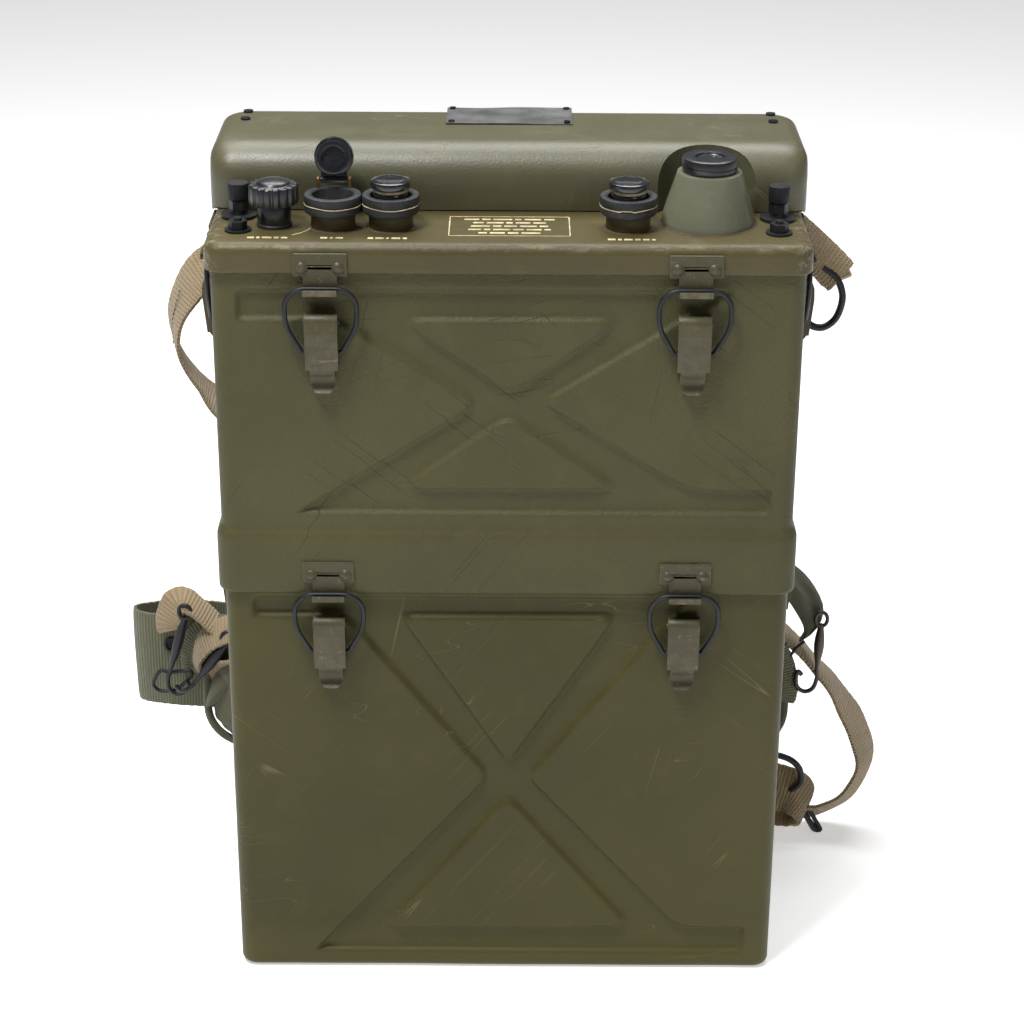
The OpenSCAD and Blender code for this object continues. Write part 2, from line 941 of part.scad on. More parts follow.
// Room inside the lever between its side flanges, open towards the wall for the ears
module lever_inside() {
    translate(PIVOT)
        circle(lever_top_r - lever_t - 0.2);
    polygon([[PIVOT[0] + lever_top_r - lever_t - 0.2, PIVOT[1]], [7.7, -31], [6, -50.5], [-1, -50.5],
        [-1, PIVOT[1] + 5], [PIVOT[0] + 1.3, PIVOT[1] + 5], [PIVOT[0] + 1.3, PIVOT[1]]]);
}

// Finger tongue: a strip that dips to the wall and curls out
module tongue_profile() {
    band([[6.6, -48.6], [5.2, -51], [2.9, -54], [2.3, -57], [3.2, -60], [5, -62]], 1.2);
}

module lever() {
    tongue_w = 12;
    color(olive)
    difference() {
        union() {
            along_x(lever_w)
                lever_side();
            intersection() {
                along_x(tongue_w)
                    tongue_profile();
                along_y(0, 10) {
                    translate([0, -56.5])
                        circle(tongue_w / 2);
                    translate([-tongue_w / 2, -56.5])
                        square([tongue_w, 10]);
                }
            }
        }
        along_x(lever_w - 2 * lever_t)
            lever_inside();
        translate([0, PIVOT[0], PIVOT[1]])
            rod(lever_pin_r + run_gap, lever_w + 1);
        translate([0, BAIL_PIVOT[0], BAIL_PIVOT[1]])
            rod(bail_r + run_gap, lever_w + 1);
    }
}

// Half of the bail: bar, bow, and the bend towards the lever. A round pin ends each side.
HALF_BAIL = wire_points([[7.3, 9.6, -90], [3.3, 20, -30], [8.66, 2, -60], [0.3, 1, 0]]);

module bail() {
    lean = atan2(BAIL_BAR[0] - BAIL_PIVOT[0], BAIL_BAR[1] - BAIL_PIVOT[1]);
    last = len(HALF_BAIL) - 1;
    tip = HALF_BAIL[last];
    line = concat([for (k = [last : -1 : 1]) [-HALF_BAIL[k][0], HALF_BAIL[k][1]]], HALF_BAIL);
    n = len(line) - 1;
    color(black)
    translate([0, BAIL_PIVOT[0], BAIL_PIVOT[1]])
        rotate([90 - lean, 0, 0])
            translate([0, BAIL_BAR[1] - BAIL_PIVOT[1], 0]) {
                linear_extrude(bail_flat, center = true)
                    polygon(concat([for (k = [0 : n]) side_of(line, k, bail_flat / 2)],
                        [for (k = [n : -1 : 0]) side_of(line, k, -bail_flat / 2)]));
                for (s = [-1, 1])
                    translate([s * (tip[0] + 0.3 - bail_pin / 2), tip[1], 0])
                        rod(bail_r, bail_pin);
            }
}

module upper_lever_1() { at_latch(UPPER_LATCHES[0]) lever(); }
module upper_lever_2() { at_latch(UPPER_LATCHES[1]) lever(); }
module upper_lever_3() { at_latch(UPPER_LATCHES[2]) lever(); }
module upper_lever_4() { at_latch(UPPER_LATCHES[3]) lever(); }
module upper_bail_1() { at_latch(UPPER_LATCHES[0]) bail(); }
module upper_bail_2() { at_latch(UPPER_LATCHES[1]) bail(); }
module upper_bail_3() { at_latch(UPPER_LATCHES[2]) bail(); }
module upper_bail_4() { at_latch(UPPER_LATCHES[3]) bail(); }
module lower_lever_1() { at_latch(LOWER_LATCHES[0]) lever(); }
module lower_lever_2() { at_latch(LOWER_LATCHES[1]) lever(); }
module lower_lever_3() { at_latch(LOWER_LATCHES[2]) lever(); }
module lower_lever_4() { at_latch(LOWER_LATCHES[3]) lever(); }
module lower_bail_1() { at_latch(LOWER_LATCHES[0]) bail(); }
module lower_bail_2() { at_latch(LOWER_LATCHES[1]) bail(); }
module lower_bail_3() { at_latch(LOWER_LATCHES[2]) bail(); }
module lower_bail_4() { at_latch(LOWER_LATCHES[3]) bail(); }

// ---- Harness ----

pad_back = 83;

module back_pad() {
    color(webbing)
    along_y(battery_y + 0.5, pad_back)
        translate([0, 128])
            rounded(pad_w, 150, 22);
}

// Belt that is folded into a loop at the left and runs across the pad
module waist_belt() {
    t = 4;
    y0 = pad_back + t / 2 + 0.3;
    belt_z = 73;
    color(webbing)
    translate([0, 0, belt_z])
        linear_extrude(belt_w) {
            band([[-122, y0 + 0.2], [-150, y0 + 0.6], [-182, y0 + 3], [-202, y0 + 7], [-210.5, y0 + 13],
                [-207, y0 + 21], [-192, y0 + 26], [-170, y0 + 24], [-146, y0 + 15], [-120, y0 + 6],
                [-90, y0 + 4.6], [-20, y0 + 4.3], [120, y0 + 4.3]], t);
        }
}

module strap(points, width, y0, y1) {
    along_y(y0, y1)
        band(points, width);
}

module harness_straps() {
    t = 3;
    color(tan_web) {
        // upper left strap, bowed out past the case
        strap([[-146.5, 352], [-162, 341], [-174, 322], [-175, 305], [-166, 285], [-157, 271]], t,
            58, 58 + strap_w);
        // lower left strap
        strap([[-160, 118], [-172, 106], [-187, 112], [-191, 132], [-182, 148], [-160, 160]], t, 66.5, 82);
        // right strap end on the steel loop
        strap([[148, 364], [160, 352], [170, 342]], 18, 60, 68);
        // right side strap behind the case
        strap([[146, 262], [149.6, 250], [150, 232], [147, 218]], t, 62, 62 + strap_w);
        // long lower right strap
        strap([[166, 129], [186, 105], [203, 72], [199, 42], [182, 24], [160, 15]], 19, 72, 79);
    }
    // shoulder straps up the back
    color(webbing)
    for (s = [-1, 1])
        strap([[s * 72, 200], [s * 80, 250], [s * 92, 310], [s * 104, 366]], 48, 67.5, 73);
}

// Steel loops, hooks and slides
module harness_hardware() {
    ring_r = 11;
    slide_w = 60;
    color(black) {
        // steel loop at the upper right
        along_y(61, 65)
            band([[161, 357], [172, 344], [172.5, 330], [166, 319], [156, 316]], 4.5);
        // snap hook on the right
        along_y(84.3, 90.3)
            band([[171, 142], [166, 130], [168, 112], [166, 97]], 7);
        // slide on the lower right strap
        along_y(80, 86)
            band([[176, 27], [190, 10]], 8);
        // snap hook and ring on the left
        along_y(60, 66)
            band([[-176, 144], [-182, 126], [-186, 108]], 8);
        translate([-190, 66, 101])
            rotate([90, 0, 0])
                difference() {
                    cylinder(r = ring_r, h = 3);
                    translate([0, 0, -1])
                        cylinder(r = ring_r - 3, h = 5);
                }
        // slides that hold the shoulder straps to the back
        for (s = [-1, 1])
            translate([s * 104 - slide_w / 2, 66.2, 368])
                cube([slide_w, 6, 10]);
    }
}

battery_case();
upper_case();
control_panel();
case_gaskets();
tuning_cover();
cover_hinge();
cover_hinge_pins();
cover_screws();
nameplate();
rotary_controls();
volume_knob();
jack_collars();
jack_boots();
mic_cap();
phone_cap();
aux_cap();
mic_cap_seal();
phone_cap_seal();
aux_cap_seal();
antenna_insulator();
antenna_cap();
antenna_socket();
binding_posts();
left_thumb_nut();
right_thumb_nut();
tuning_knob();
tuning_shaft();
tuning_dial();
dial_window();
antenna_trim_knob();
squelch_knob();
chassis();
valves();
if_cans();
capacitor_frame();
capacitor_rotor();
battery_pack();
latch_hooks();
latch_rivets();
latch_brackets();
upper_lever_1();
upper_lever_2();
upper_lever_3();
upper_lever_4();
upper_bail_1();
upper_bail_2();
upper_bail_3();
upper_bail_4();
lower_lever_1();
lower_lever_2();
lower_lever_3();
lower_lever_4();
lower_bail_1();
lower_bail_2();
lower_bail_3();
lower_bail_4();
back_pad();
waist_belt();
harness_straps();
harness_hardware();
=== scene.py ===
import math
import bmesh
import bpy
import numpy as np
from mathutils import Matrix, Vector


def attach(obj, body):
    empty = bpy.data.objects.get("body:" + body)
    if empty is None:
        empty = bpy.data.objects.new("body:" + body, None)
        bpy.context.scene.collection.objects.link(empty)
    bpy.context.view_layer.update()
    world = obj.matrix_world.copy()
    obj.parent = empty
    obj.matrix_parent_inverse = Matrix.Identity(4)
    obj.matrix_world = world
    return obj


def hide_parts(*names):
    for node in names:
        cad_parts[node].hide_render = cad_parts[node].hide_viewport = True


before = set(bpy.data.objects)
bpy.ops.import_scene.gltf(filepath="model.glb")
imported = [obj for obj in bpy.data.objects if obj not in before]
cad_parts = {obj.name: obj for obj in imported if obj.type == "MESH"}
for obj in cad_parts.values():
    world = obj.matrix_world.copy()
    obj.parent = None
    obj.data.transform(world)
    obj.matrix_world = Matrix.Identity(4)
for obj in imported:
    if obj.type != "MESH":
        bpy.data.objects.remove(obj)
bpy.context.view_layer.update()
# lights, backdrop and camera: watts, metres and degrees
FLOOR_HALF = 30.0
FLOOR_GLOW = 0.46
WORLD_LIGHT = 0.08
CAMERA_LENS = 86.13
CAMERA_PLACE = (0.0024, -1.1526, 0.7484)
CAMERA_DOWN = 24
CAMERA_ROLL = 0.33
MM = 0.001
scene = bpy.context.scene


# ---------- Materials ----------

class Nodes:
    """Short hand for building a node tree."""

    def __init__(self, name):
        self.mat = bpy.data.materials.new(name)
        self.mat.use_nodes = True
        self.tree = self.mat.node_tree
        self.shader = self.tree.nodes["Principled BSDF"]
        self.place = self.add("ShaderNodeTexCoord").outputs["Object"]

    def add(self, kind, **settings):
        node = self.tree.nodes.new(kind)
        for key, value in settings.items():
            setattr(node, key, value)
        return node

    def link(self, value, socket):
        if hasattr(value, "is_output"):
            self.tree.links.new(value, socket)
        else:
            socket.default_value = value

    def math(self, op, a, b=0.0, c=None):
        node = self.add("ShaderNodeMath", operation=op)
        self.link(a, node.inputs[0])
        self.link(b, node.inputs[1])
        if c is not None:
            self.link(c, node.inputs[2])
        return node.outputs[0]

    def times(self, a, b):
        return self.math("MULTIPLY", a, b)

    def plus(self, a, b):
        return self.math("ADD", a, b)

    def minus(self, a, b):
        return self.math("SUBTRACT", a, b)

    def noise(self, scale, detail=4.0, rough=0.55, vector=None, distortion=0.0):
        node = self.add("ShaderNodeTexNoise")
        node.inputs["Scale"].default_value = scale
        node.inputs["Detail"].default_value = detail
        node.inputs["Roughness"].default_value = rough
        node.inputs["Distortion"].default_value = distortion
        self.link(self.place if vector is None else vector, node.inputs["Vector"])
        return node.outputs["Fac"]

    def mapped(self, scale=(1, 1, 1), turn=(0, 0, 0), shift=(0, 0, 0), vector=None, kind="POINT"):
        node = self.add("ShaderNodeMapping", vector_type=kind)
        node.inputs["Location"].default_value = shift
        node.inputs["Rotation"].default_value = [math.radians(a) for a in turn]
        node.inputs["Scale"].default_value = scale
        self.link(self.place if vector is None else vector, node.inputs["Vector"])
        return node.outputs["Vector"]

    def ramp(self, value, low, high):
        """0 below low, 1 above high."""
        node = self.add("ShaderNodeMapRange", interpolation_type="SMOOTHSTEP")
        self.link(value, node.inputs["Value"])
        node.inputs["From Min"].default_value = low
        node.inputs["From Max"].default_value = high
        return node.outputs["Result"]

    def mix(self, factor, a, b):
        node = self.add("ShaderNodeMix", data_type="RGBA")
        self.link(factor, node.inputs["Factor"])
        self.link(rgba(a) if isinstance(a, tuple) else a, node.inputs["A"])
        self.link(rgba(b) if isinstance(b, tuple) else b, node.inputs["B"])
        return [s for s in node.outputs if s.type == "RGBA"][0]

    def axes(self, vector=None):
        node = self.add("ShaderNodeSeparateXYZ")
        self.link(self.place if vector is None else vector, node.inputs[0])
        return node.outputs

    def bump(self, height, distance, strength=1.0, after=None):
        node = self.add("ShaderNodeBump")
        node.inputs["Distance"].default_value = distance
        node.inputs["Strength"].default_value = strength
        self.link(height, node.inputs["Height"])
        if after is not None:
            self.link(after, node.inputs["Normal"])
        return node.outputs["Normal"]

    def scratches(self, turn, stretch, scale, width, seed, cover):
        """Thin lines running one way, present only in patches."""
        v = self.mapped(scale=(1, 1, 1 / stretch), turn=turn, shift=(seed, seed * 0.7, seed * 1.3),
            kind="TEXTURE")
        n = self.noise(scale, 1.0, 0.4, vector=v)
        line = self.minus(1.0, self.ramp(self.math("ABSOLUTE", self.minus(n, 0.5)), 0.0, width))
        patch = self.ramp(self.noise(14, 3, 0.5, vector=self.mapped(shift=(seed * 2, 3, seed))), cover,
            cover + 0.05)
        return self.times(line, patch)

    def worn_edges(self, low=0.53, high=0.6):
        node = self.add("ShaderNodeNewGeometry")
        return self.ramp(node.outputs["Pointiness"], low, high)

    def finish(self, color=None, rough=None, normal=None, metallic=None, **fixed):
        if color is not None:
            self.link(rgba(color) if isinstance(color, tuple) else color, self.shader.inputs["Base Color"])
        if rough is not None:
            self.link(rough, self.shader.inputs["Roughness"])
        if normal is not None:
            self.link(normal, self.shader.inputs["Normal"])
        if metallic is not None:
            self.link(metallic, self.shader.inputs["Metallic"])
        for key, value in fixed.items():
            self.shader.inputs[key.replace("_", " ")].default_value = value
        return self.mat


def rgba(c):
    return (c[0], c[1], c[2], 1.0)


def scaled(c, k):
    return tuple(x * k for x in c)


def paint(name, base, rough=0.42, grain=900.0, grain_depth=0.00012, scratch=0.6, chips=0.5, spec=0.5,
        low_band=None, corner=None, grime=None, primer=0.0):
    """Olive enamel over steel: uneven tone, fine grain, scratches, small chips and rusty spots."""
    n = Nodes(name)
    big = n.noise(7.0, 5.0, 0.6)
    mid = n.noise(45.0, 6.0, 0.65)
    fine = n.noise(grain, 3.0, 0.6)
    color = n.mix(n.ramp(big, 0.32, 0.70), scaled(base, 0.86), scaled(base, 1.12))
    color = n.mix(n.times(n.ramp(mid, 0.50, 0.72), 0.35), color, scaled(base, 1.30))
    color = n.mix(n.times(n.ramp(fine, 0.55, 0.75), 0.22), color, scaled(base, 1.45))
    if low_band is not None:
        z = n.axes()[2]
        edge = n.plus(z, n.times(n.minus(mid, 0.5), 0.03))
        rise = n.minus(1.0, n.ramp(edge, low_band[0], low_band[1]))
        color = n.mix(n.times(rise, 0.55), color, scaled(base, 1.38))
    # corner gives the ends where the paint is flaked, which is real wear; it also turns on the painted
    # highlight along the rim's top edge below
    if corner is not None:
        x, _, z = n.axes()
        far = n.ramp(n.math("ABSOLUTE", x), corner[0], corner[1])
        flaked = n.ramp(n.noise(230.0, 9.0, 0.72, vector=n.mapped(shift=(7, 3, 1))), 0.50, 0.60)
        color = n.mix(n.times(n.times(far, flaked), 0.75), color, (0.26, 0.24, 0.17))
        # painted highlight: a pale line broken into streaks along the rounded top edge of the rim, where the
        # top light falls
        line = n.times(n.ramp(z, 0.3955, 0.3985), n.minus(1.0, n.ramp(z, 0.3988, 0.3999)))
        highlight_streaks = n.ramp(n.noise(70.0, 8.0, 0.7, vector=n.mapped(scale=(1, 1, 3), shift=(2, 8, 5))), 0.50,
            0.62)
        color = n.mix(n.times(n.times(line, highlight_streaks), 0.45), color, (0.24, 0.21, 0.14))
    if grime is not None:
        z = n.axes()[2]
        flat = n.ramp(z, grime[0], grime[1])
        soil = n.ramp(n.noise(55.0, 8.0, 0.7, vector=n.mapped(shift=(3, 5, 9))), 0.44, 0.66)
        color = n.mix(n.times(n.times(flat, soil), 0.55), color, (0.075, 0.050, 0.026))
    if primer:
        red = n.ramp(n.noise(260.0, 8.0, 0.75, vector=n.mapped(shift=(8, 1, 6))), 0.58, 0.64)
        color = n.mix(n.times(red, primer), color, (0.19, 0.085, 0.050))
        pale = n.ramp(n.noise(310.0, 8.0, 0.75, vector=n.mapped(shift=(1, 4, 2))), 0.60, 0.66)
        color = n.mix(n.times(pale, primer), color, (0.17, 0.17, 0.125))
    marks = None
    for turn, stretch, scale, width, seed, cover in (
        ((0, 38, 0), 0.02, 70, 0.005, 1.7, 0.57),
        ((0, -52, 0), 0.03, 60, 0.0045, 4.1, 0.58),
        ((0, 12, 0), 0.015, 95, 0.005, 7.3, 0.60),
        ((0, 80, 10), 0.02, 80, 0.0045, 9.9, 0.59),
    ):
        lines = n.scratches(turn, stretch, scale, width, seed, cover)
        marks = lines if marks is None else n.math("MAXIMUM", marks, lines)
    color = n.mix(n.times(marks, scratch * 0.5), color, (0.27, 0.235, 0.12))
    chip = n.ramp(n.noise(150.0, 8.0, 0.7), 0.715, 0.735)
    chip = n.times(chip, n.ramp(n.noise(11.0, 3.0, 0.6, vector=n.mapped(shift=(5, 2, 8))), 0.46, 0.58))
    color = n.mix(n.times(chip, chips), color, (0.028, 0.024, 0.020))
    rust = n.ramp(n.noise(60.0, 9.0, 0.72, vector=n.mapped(shift=(1, 9, 4))), 0.70, 0.76)
    color = n.mix(n.times(rust, chips * 0.7), color, (0.16, 0.075, 0.035))
    worn = n.times(n.worn_edges(), n.ramp(n.noise(120.0, 6.0, 0.7), 0.40, 0.62))
    color = n.mix(n.times(worn, 0.55), color, (0.20, 0.17, 0.11))
    roughness = n.plus(rough - 0.06, n.times(mid, 0.16))
    height = n.minus(n.plus(fine, n.times(mid, 0.6)), n.times(marks, 0.8))
    return n.finish(color, roughness, n.bump(height, grain_depth, 1.0), **{"Specular IOR Level": spec})


def rubber(name, base, rough=0.55, brown=0.3, grain=600.0, coat=0.0):
    n = Nodes(name)
    mid = n.noise(110.0, 6.0, 0.6)
    fine = n.noise(grain, 4.0, 0.6)
    color = n.mix(n.ramp(mid, 0.35, 0.75), scaled(base, 0.7), scaled(base, 1.5))
    dirt = n.ramp(n.noise(260.0, 8.0, 0.7, vector=n.mapped(shift=(3, 1, 7))), 0.56, 0.72)
    color = n.mix(n.times(dirt, brown), color, (0.10, 0.065, 0.035))
    pale = n.ramp(n.noise(420.0, 6.0, 0.7, vector=n.mapped(shift=(8, 5, 2))), 0.66, 0.74)
    color = n.mix(n.times(pale, brown * 0.6), color, (0.22, 0.21, 0.18))
    roughness = n.plus(rough - 0.1, n.times(fine, 0.22))
    height = n.plus(fine, n.times(mid, 0.7))
    return n.finish(color, roughness, n.bump(height, 0.00012),
        **{"Coat Weight": coat, "Coat Roughness": 0.12})


def metal(name, base, rough=0.4, brushed=(1, 1, 30), rust=0.2, metallic=1.0, scratch=0.4):
    n = Nodes(name)
    grain = n.noise(220.0, 4.0, 0.6, vector=n.mapped(scale=brushed))
    mid = n.noise(70.0, 6.0, 0.62)
    color = n.mix(n.ramp(mid, 0.3, 0.75), scaled(base, 0.7), scaled(base, 1.15))
    lines = n.math("MAXIMUM", n.scratches((0, 30, 60), 0.03, 160, 0.008, 2.2, 0.5),
        n.scratches((20, 0, -35), 0.03, 150, 0.008, 6.1, 0.5))
    color = n.mix(n.times(lines, scratch), color, scaled(base, 1.6))
    spots = n.ramp(n.noise(190.0, 8.0, 0.7, vector=n.mapped(shift=(4, 8, 1))), 0.60, 0.70)
    color = n.mix(n.times(spots, rust), color, (0.10, 0.05, 0.028))
    roughness = n.plus(rough - 0.1, n.times(mid, 0.25))
    metal_part = n.times(n.minus(1.0, n.times(spots, rust)), metallic)
    return n.finish(color, roughness, n.bump(n.plus(grain, mid), 0.00006), metal_part)


def webbing(name, base, pitch=0.0016, fray=0.5):
    """Ribbed woven cotton. U runs across the band and V along it, both in metres."""
    n = Nodes(name)
    uv = n.add("ShaderNodeUVMap").outputs[0]
    axes = n.axes(uv)
    across, along = axes[0], axes[1]
    tau = 2 * math.pi
    rib = n.math("SINE", n.times(along, tau / pitch))
    warp = n.math("SINE", n.times(across, tau / (pitch * 0.8)))
    weave = n.plus(n.times(rib, 0.6), n.times(n.times(rib, warp), 0.5))
    mid = n.noise(60.0, 5.0, 0.6)
    fine = n.noise(1500.0, 3.0, 0.6)
    color = n.mix(n.ramp(mid, 0.3, 0.72), scaled(base, 0.72), scaled(base, 1.18))
    color = n.mix(n.times(n.ramp(weave, -0.6, 0.9), 0.5), scaled(base, 0.55), color)
    dirt = n.ramp(n.noise(25.0, 7.0, 0.65, vector=n.mapped(shift=(6, 2, 5))), 0.52, 0.72)
    color = n.mix(n.times(dirt, 0.4 * fray), color, scaled(base, 0.45))
    light = n.ramp(n.noise(90.0, 7.0, 0.7, vector=n.mapped(shift=(9, 1, 3))), 0.60, 0.74)
    color = n.mix(n.times(light, 0.5 * fray), color, scaled(base, 1.7))
    height = n.plus(weave, n.times(fine, 0.8))
    return n.finish(color, 0.92, n.bump(height, 0.00035), **{"Sheen Weight": 0.25, "Sheen Roughness": 0.5})


def canvas(name, base, thread=0.0008):
    """Cotton duck. The weave is made in the object's own X, Y and Z."""
    n = Nodes(name)
    axes = n.axes()
    tau = 2 * math.pi
    a = n.math("SINE", n.times(n.plus(axes[0], axes[1]), tau / thread))
    b = n.math("SINE", n.times(axes[2], tau / thread))
    weave = n.times(a, b)
    mid = n.noise(22.0, 6.0, 0.6)
    fine = n.noise(1300.0, 3.0, 0.6)
    color = n.mix(n.ramp(mid, 0.32, 0.7), scaled(base, 0.75), scaled(base, 1.15))
    color = n.mix(n.times(n.ramp(weave, -0.3, 0.9), 0.3), scaled(base, 0.7), color)
    dirt = n.ramp(n.noise(9.0, 7.0, 0.68, vector=n.mapped(shift=(2, 7, 4))), 0.52, 0.70)
    color = n.mix(n.times(dirt, 0.4), color, scaled(base, 0.5))
    height = n.plus(n.times(weave, 0.5), n.times(fine, 0.7))
    return n.finish(color, 0.93, n.bump(height, 0.0003), **{"Sheen Weight": 0.25, "Sheen Roughness": 0.5})


def glass(name, tint, alpha, rough=0.12):
    n = Nodes(name)
    dust = n.ramp(n.noise(120.0, 6.0, 0.65), 0.45, 0.8)
    color = n.mix(n.times(dust, 0.4), tint, (0.4, 0.38, 0.32))
    n.finish(color, n.plus(rough, n.times(dust, 0.3)), n.bump(dust, 0.00003))
    n.shader.inputs["Alpha"].default_value = alpha
    return n.mat


OLIVE_LOW = (0.064, 0.057, 0.017)
OLIVE_UP = (0.076, 0.070, 0.028)
OLIVE_RIM = (0.080, 0.067, 0.026)
OLIVE_COVER = (0.092, 0.086, 0.048)

M = {
    "olive_paint": paint("olive_paint", OLIVE_LOW, rough=0.44, low_band=(0.010, 0.034), scratch=0.6,
        chips=0.9, spec=0.22),
    "olive_paint_textured": paint("olive_paint_textured", OLIVE_UP, rough=0.5, grain=620.0,
        grain_depth=0.0004,
                                  scratch=0.12, chips=0.35, spec=0.25),
    "olive_rim": paint("olive_rim", OLIVE_RIM, rough=0.4, grain=800.0, grain_depth=0.0002, scratch=0.7,
        chips=1.0,
                       spec=0.3, corner=(0.131, 0.142), grime=(0.3985, 0.3998)),
    "cover_paint": paint("cover_paint", OLIVE_COVER, rough=0.37, scratch=0.7, chips=0.6, spec=0.55),
    "latch_paint": paint("latch_paint", (0.064, 0.057, 0.027), rough=0.38, scratch=0.8, chips=1.6,
        grain=1500.0,
                          spec=0.35, primer=0.6),
    "black_bakelite": rubber("black_bakelite", (0.016, 0.017, 0.020), rough=0.34, brown=0.22, coat=0.25),
    "black_gloss": rubber("black_gloss", (0.012, 0.013, 0.017), rough=0.20, brown=0.08, coat=0.6),
    "black_rubber": rubber("black_rubber", (0.021, 0.022, 0.024), rough=0.58, brown=0.75),
    "cream_rubber": rubber("cream_rubber", (0.52, 0.45, 0.28), rough=0.6, brown=0.5, grain=900.0),
    "bare_aluminium": metal("bare_aluminium", (0.22, 0.22, 0.22), rough=0.50, rust=0.35),
    "plated_steel": metal("plated_steel", (0.38, 0.38, 0.36), rough=0.4, rust=0.25),
    "brass": metal("brass", (0.32, 0.22, 0.09), rough=0.4, rust=0.5),
    "black_steel": metal("black_steel", (0.030, 0.031, 0.035), rough=0.42, rust=0.25, metallic=0.55,
        scratch=0.25),
    "brown_steel": metal("brown_steel", (0.075, 0.062, 0.050), rough=0.45, rust=0.7, metallic=0.6),
    "insulator_enamel": paint("insulator_enamel", (0.140, 0.142, 0.098), rough=0.20, scratch=0.5, chips=0.3,
                              grain=400.0, grain_depth=0.00006, spec=0.6),
    "valve_glass": glass("valve_glass", (0.75, 0.78, 0.76), 0.45),
    "window_glass": glass("window_glass", (0.80, 0.84, 0.84), 0.25),
    "dial_white": rubber("dial_white", (0.50, 0.47, 0.36), rough=0.5, brown=0.25, grain=900.0),
    "battery_card": rubber("battery_card", (0.30, 0.22, 0.12), rough=0.7, brown=0.3),
    "olive_webbing": webbing("olive_webbing", (0.190, 0.192, 0.105), pitch=0.0017),
    "olive_canvas": canvas("olive_canvas", (0.125, 0.122, 0.066)),
    "tan_webbing": webbing("tan_webbing", (0.430, 0.315, 0.170), pitch=0.0021, fray=0.8),
    "cream_paint": rubber("cream_paint", (0.55, 0.47, 0.27), rough=0.5, brown=0.35, grain=900.0),
    "thread": rubber("thread", (0.10, 0.095, 0.055), rough=0.9, brown=0.1),
    "rust": rubber("rust", (0.085, 0.052, 0.030), rough=0.8, brown=0.8),
    "dark_gap": rubber("dark_gap", (0.012, 0.011, 0.010), rough=0.8, brown=0.3),
}


# ---------- Mesh helpers: sizes in millimetres ----------

def make(name, verts, faces, material, body="root", slot=None, uvs=None, sharp=38.0, replaces=()):
    me = bpy.data.meshes.new(name)
    me.from_pydata([tuple(float(c) * MM for c in v) for v in verts], [], [tuple(f) for f in faces])
    me.validate()
    if uvs is not None:
        layer = me.uv_layers.new(name="UVMap")
        for loop in me.loops:
            layer.data[loop.index].uv = uvs[loop.vertex_index]
    me.shade_smooth()
    me.set_sharp_from_angle(angle=math.radians(sharp))
    me.update()
    ob = bpy.data.objects.new(name, me)
    scene.collection.objects.link(ob)
    ob.data.materials.append(M[material])
    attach(ob, body)
    slot = slot or material
    if replaces:
        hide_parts(*replaces)
    return ob


def loft_data(rings, closed_start=True, closed_end=True, wrap=False):
    """Vertices and faces through closed rings with the same number of points."""
    n = len(rings[0])
    verts = [tuple(p) for r in rings for p in r]
    faces = []
    count = len(rings)
    for i in range(count if wrap else count - 1):
        j = (i + 1) % count
        for k in range(n):
            q = (k + 1) % n
            faces.append((i * n + k, i * n + q, j * n + q, j * n + k))
    if not wrap and closed_start:
        faces.append(tuple(range(n - 1, -1, -1)))
    if not wrap and closed_end:
        faces.append(tuple((count - 1) * n + k for k in range(n)))
    return verts, faces


def round_turn(n):
    """n even angles of a full turn."""
    return np.linspace(0, 2 * math.pi, n + 1)[:-1]


def joined(*parts):
    verts, faces = [], []
    for v, f in parts:
        base = len(verts)
        verts += list(v)
        faces += [tuple(i + base for i in face) for face in f]
    return verts, faces


def moved(data, fn):
    return [fn(v) for v in data[0]], data[1]


def lathe_data(profile, centre=(0, 0), sides=64):
    """Solid of revolution about Z through (r, z) points, from the bottom up. It may come back down inside."""
    rings = []
    for r, z in profile:
        r = max(r, 0.02)
        rings.append([(centre[0] + r * math.cos(2 * math.pi * k / sides),
            centre[1] + r * math.sin(2 * math.pi * k / sides), z) for k in range(sides)])
    return loft_data(rings)


def plan_ring(hx, hy, r, z, front=60, back=24, side=16, corner=7, cy=0.0):
    """Rounded rectangle seen from above, starting at the left of the front wall and going to the right."""
    r = max(min(r, hx - 0.1, hy - 0.1), 0.05)
    pts = []
    for t in np.linspace(-1, 1, front):
        pts.append(((hx - r) * t, -hy))
    for sx, sy, a0 in ((1, -1, -90), (1, 1, 0), (-1, 1, 90), (-1, -1, 180)):
        cx, cyy = sx * (hx - r), sy * (hy - r)
        for k in range(1, corner + 1):
            a = math.radians(a0 + 90 * k / (corner + 1))
            pts.append((cx + r * math.cos(a), cyy + r * math.sin(a)))
        if (sx, sy) == (1, -1):
            pts += [(hx, (hy - r) * t) for t in np.linspace(-1, 1, side)]
        elif (sx, sy) == (1, 1):
            pts += [((hx - r) * t, hy) for t in np.linspace(1, -1, back)]
        elif (sx, sy) == (-1, 1):
            pts += [(-hx, (hy - r) * t) for t in np.linspace(1, -1, side)]
    return np.array([(x, y + cy, z) for x, y in pts])


def smooth01(t):
    t = np.clip(t, 0, 1)
    return t * t * (3 - 2 * t)


def soft_max(a, b, k):
    h = np.clip(0.5 + 0.5 * (a - b) / k, 0, 1)
    return b * (1 - h) + a * h + k * h * (1 - h)


def half_plane(x, z, p, q):
    """Signed distance to the line from p to q, negative on its left."""
    dx, dz = q[0] - p[0], q[1] - p[1]
    length = math.hypot(dx, dz)
    return ((x - p[0]) * dz - (z - p[1]) * dx) / length


def convex(x, z, points, k, open_sides=()):
    """Distance to a convex outline with soft corners. points go anticlockwise."""
    out = None
    for i in range(len(points)):
        if i in open_sides:
            continue
        d = half_plane(x, z, points[i], points[(i + 1) % len(points)])
        out = d if out is None else soft_max(out, d, k)
    return out


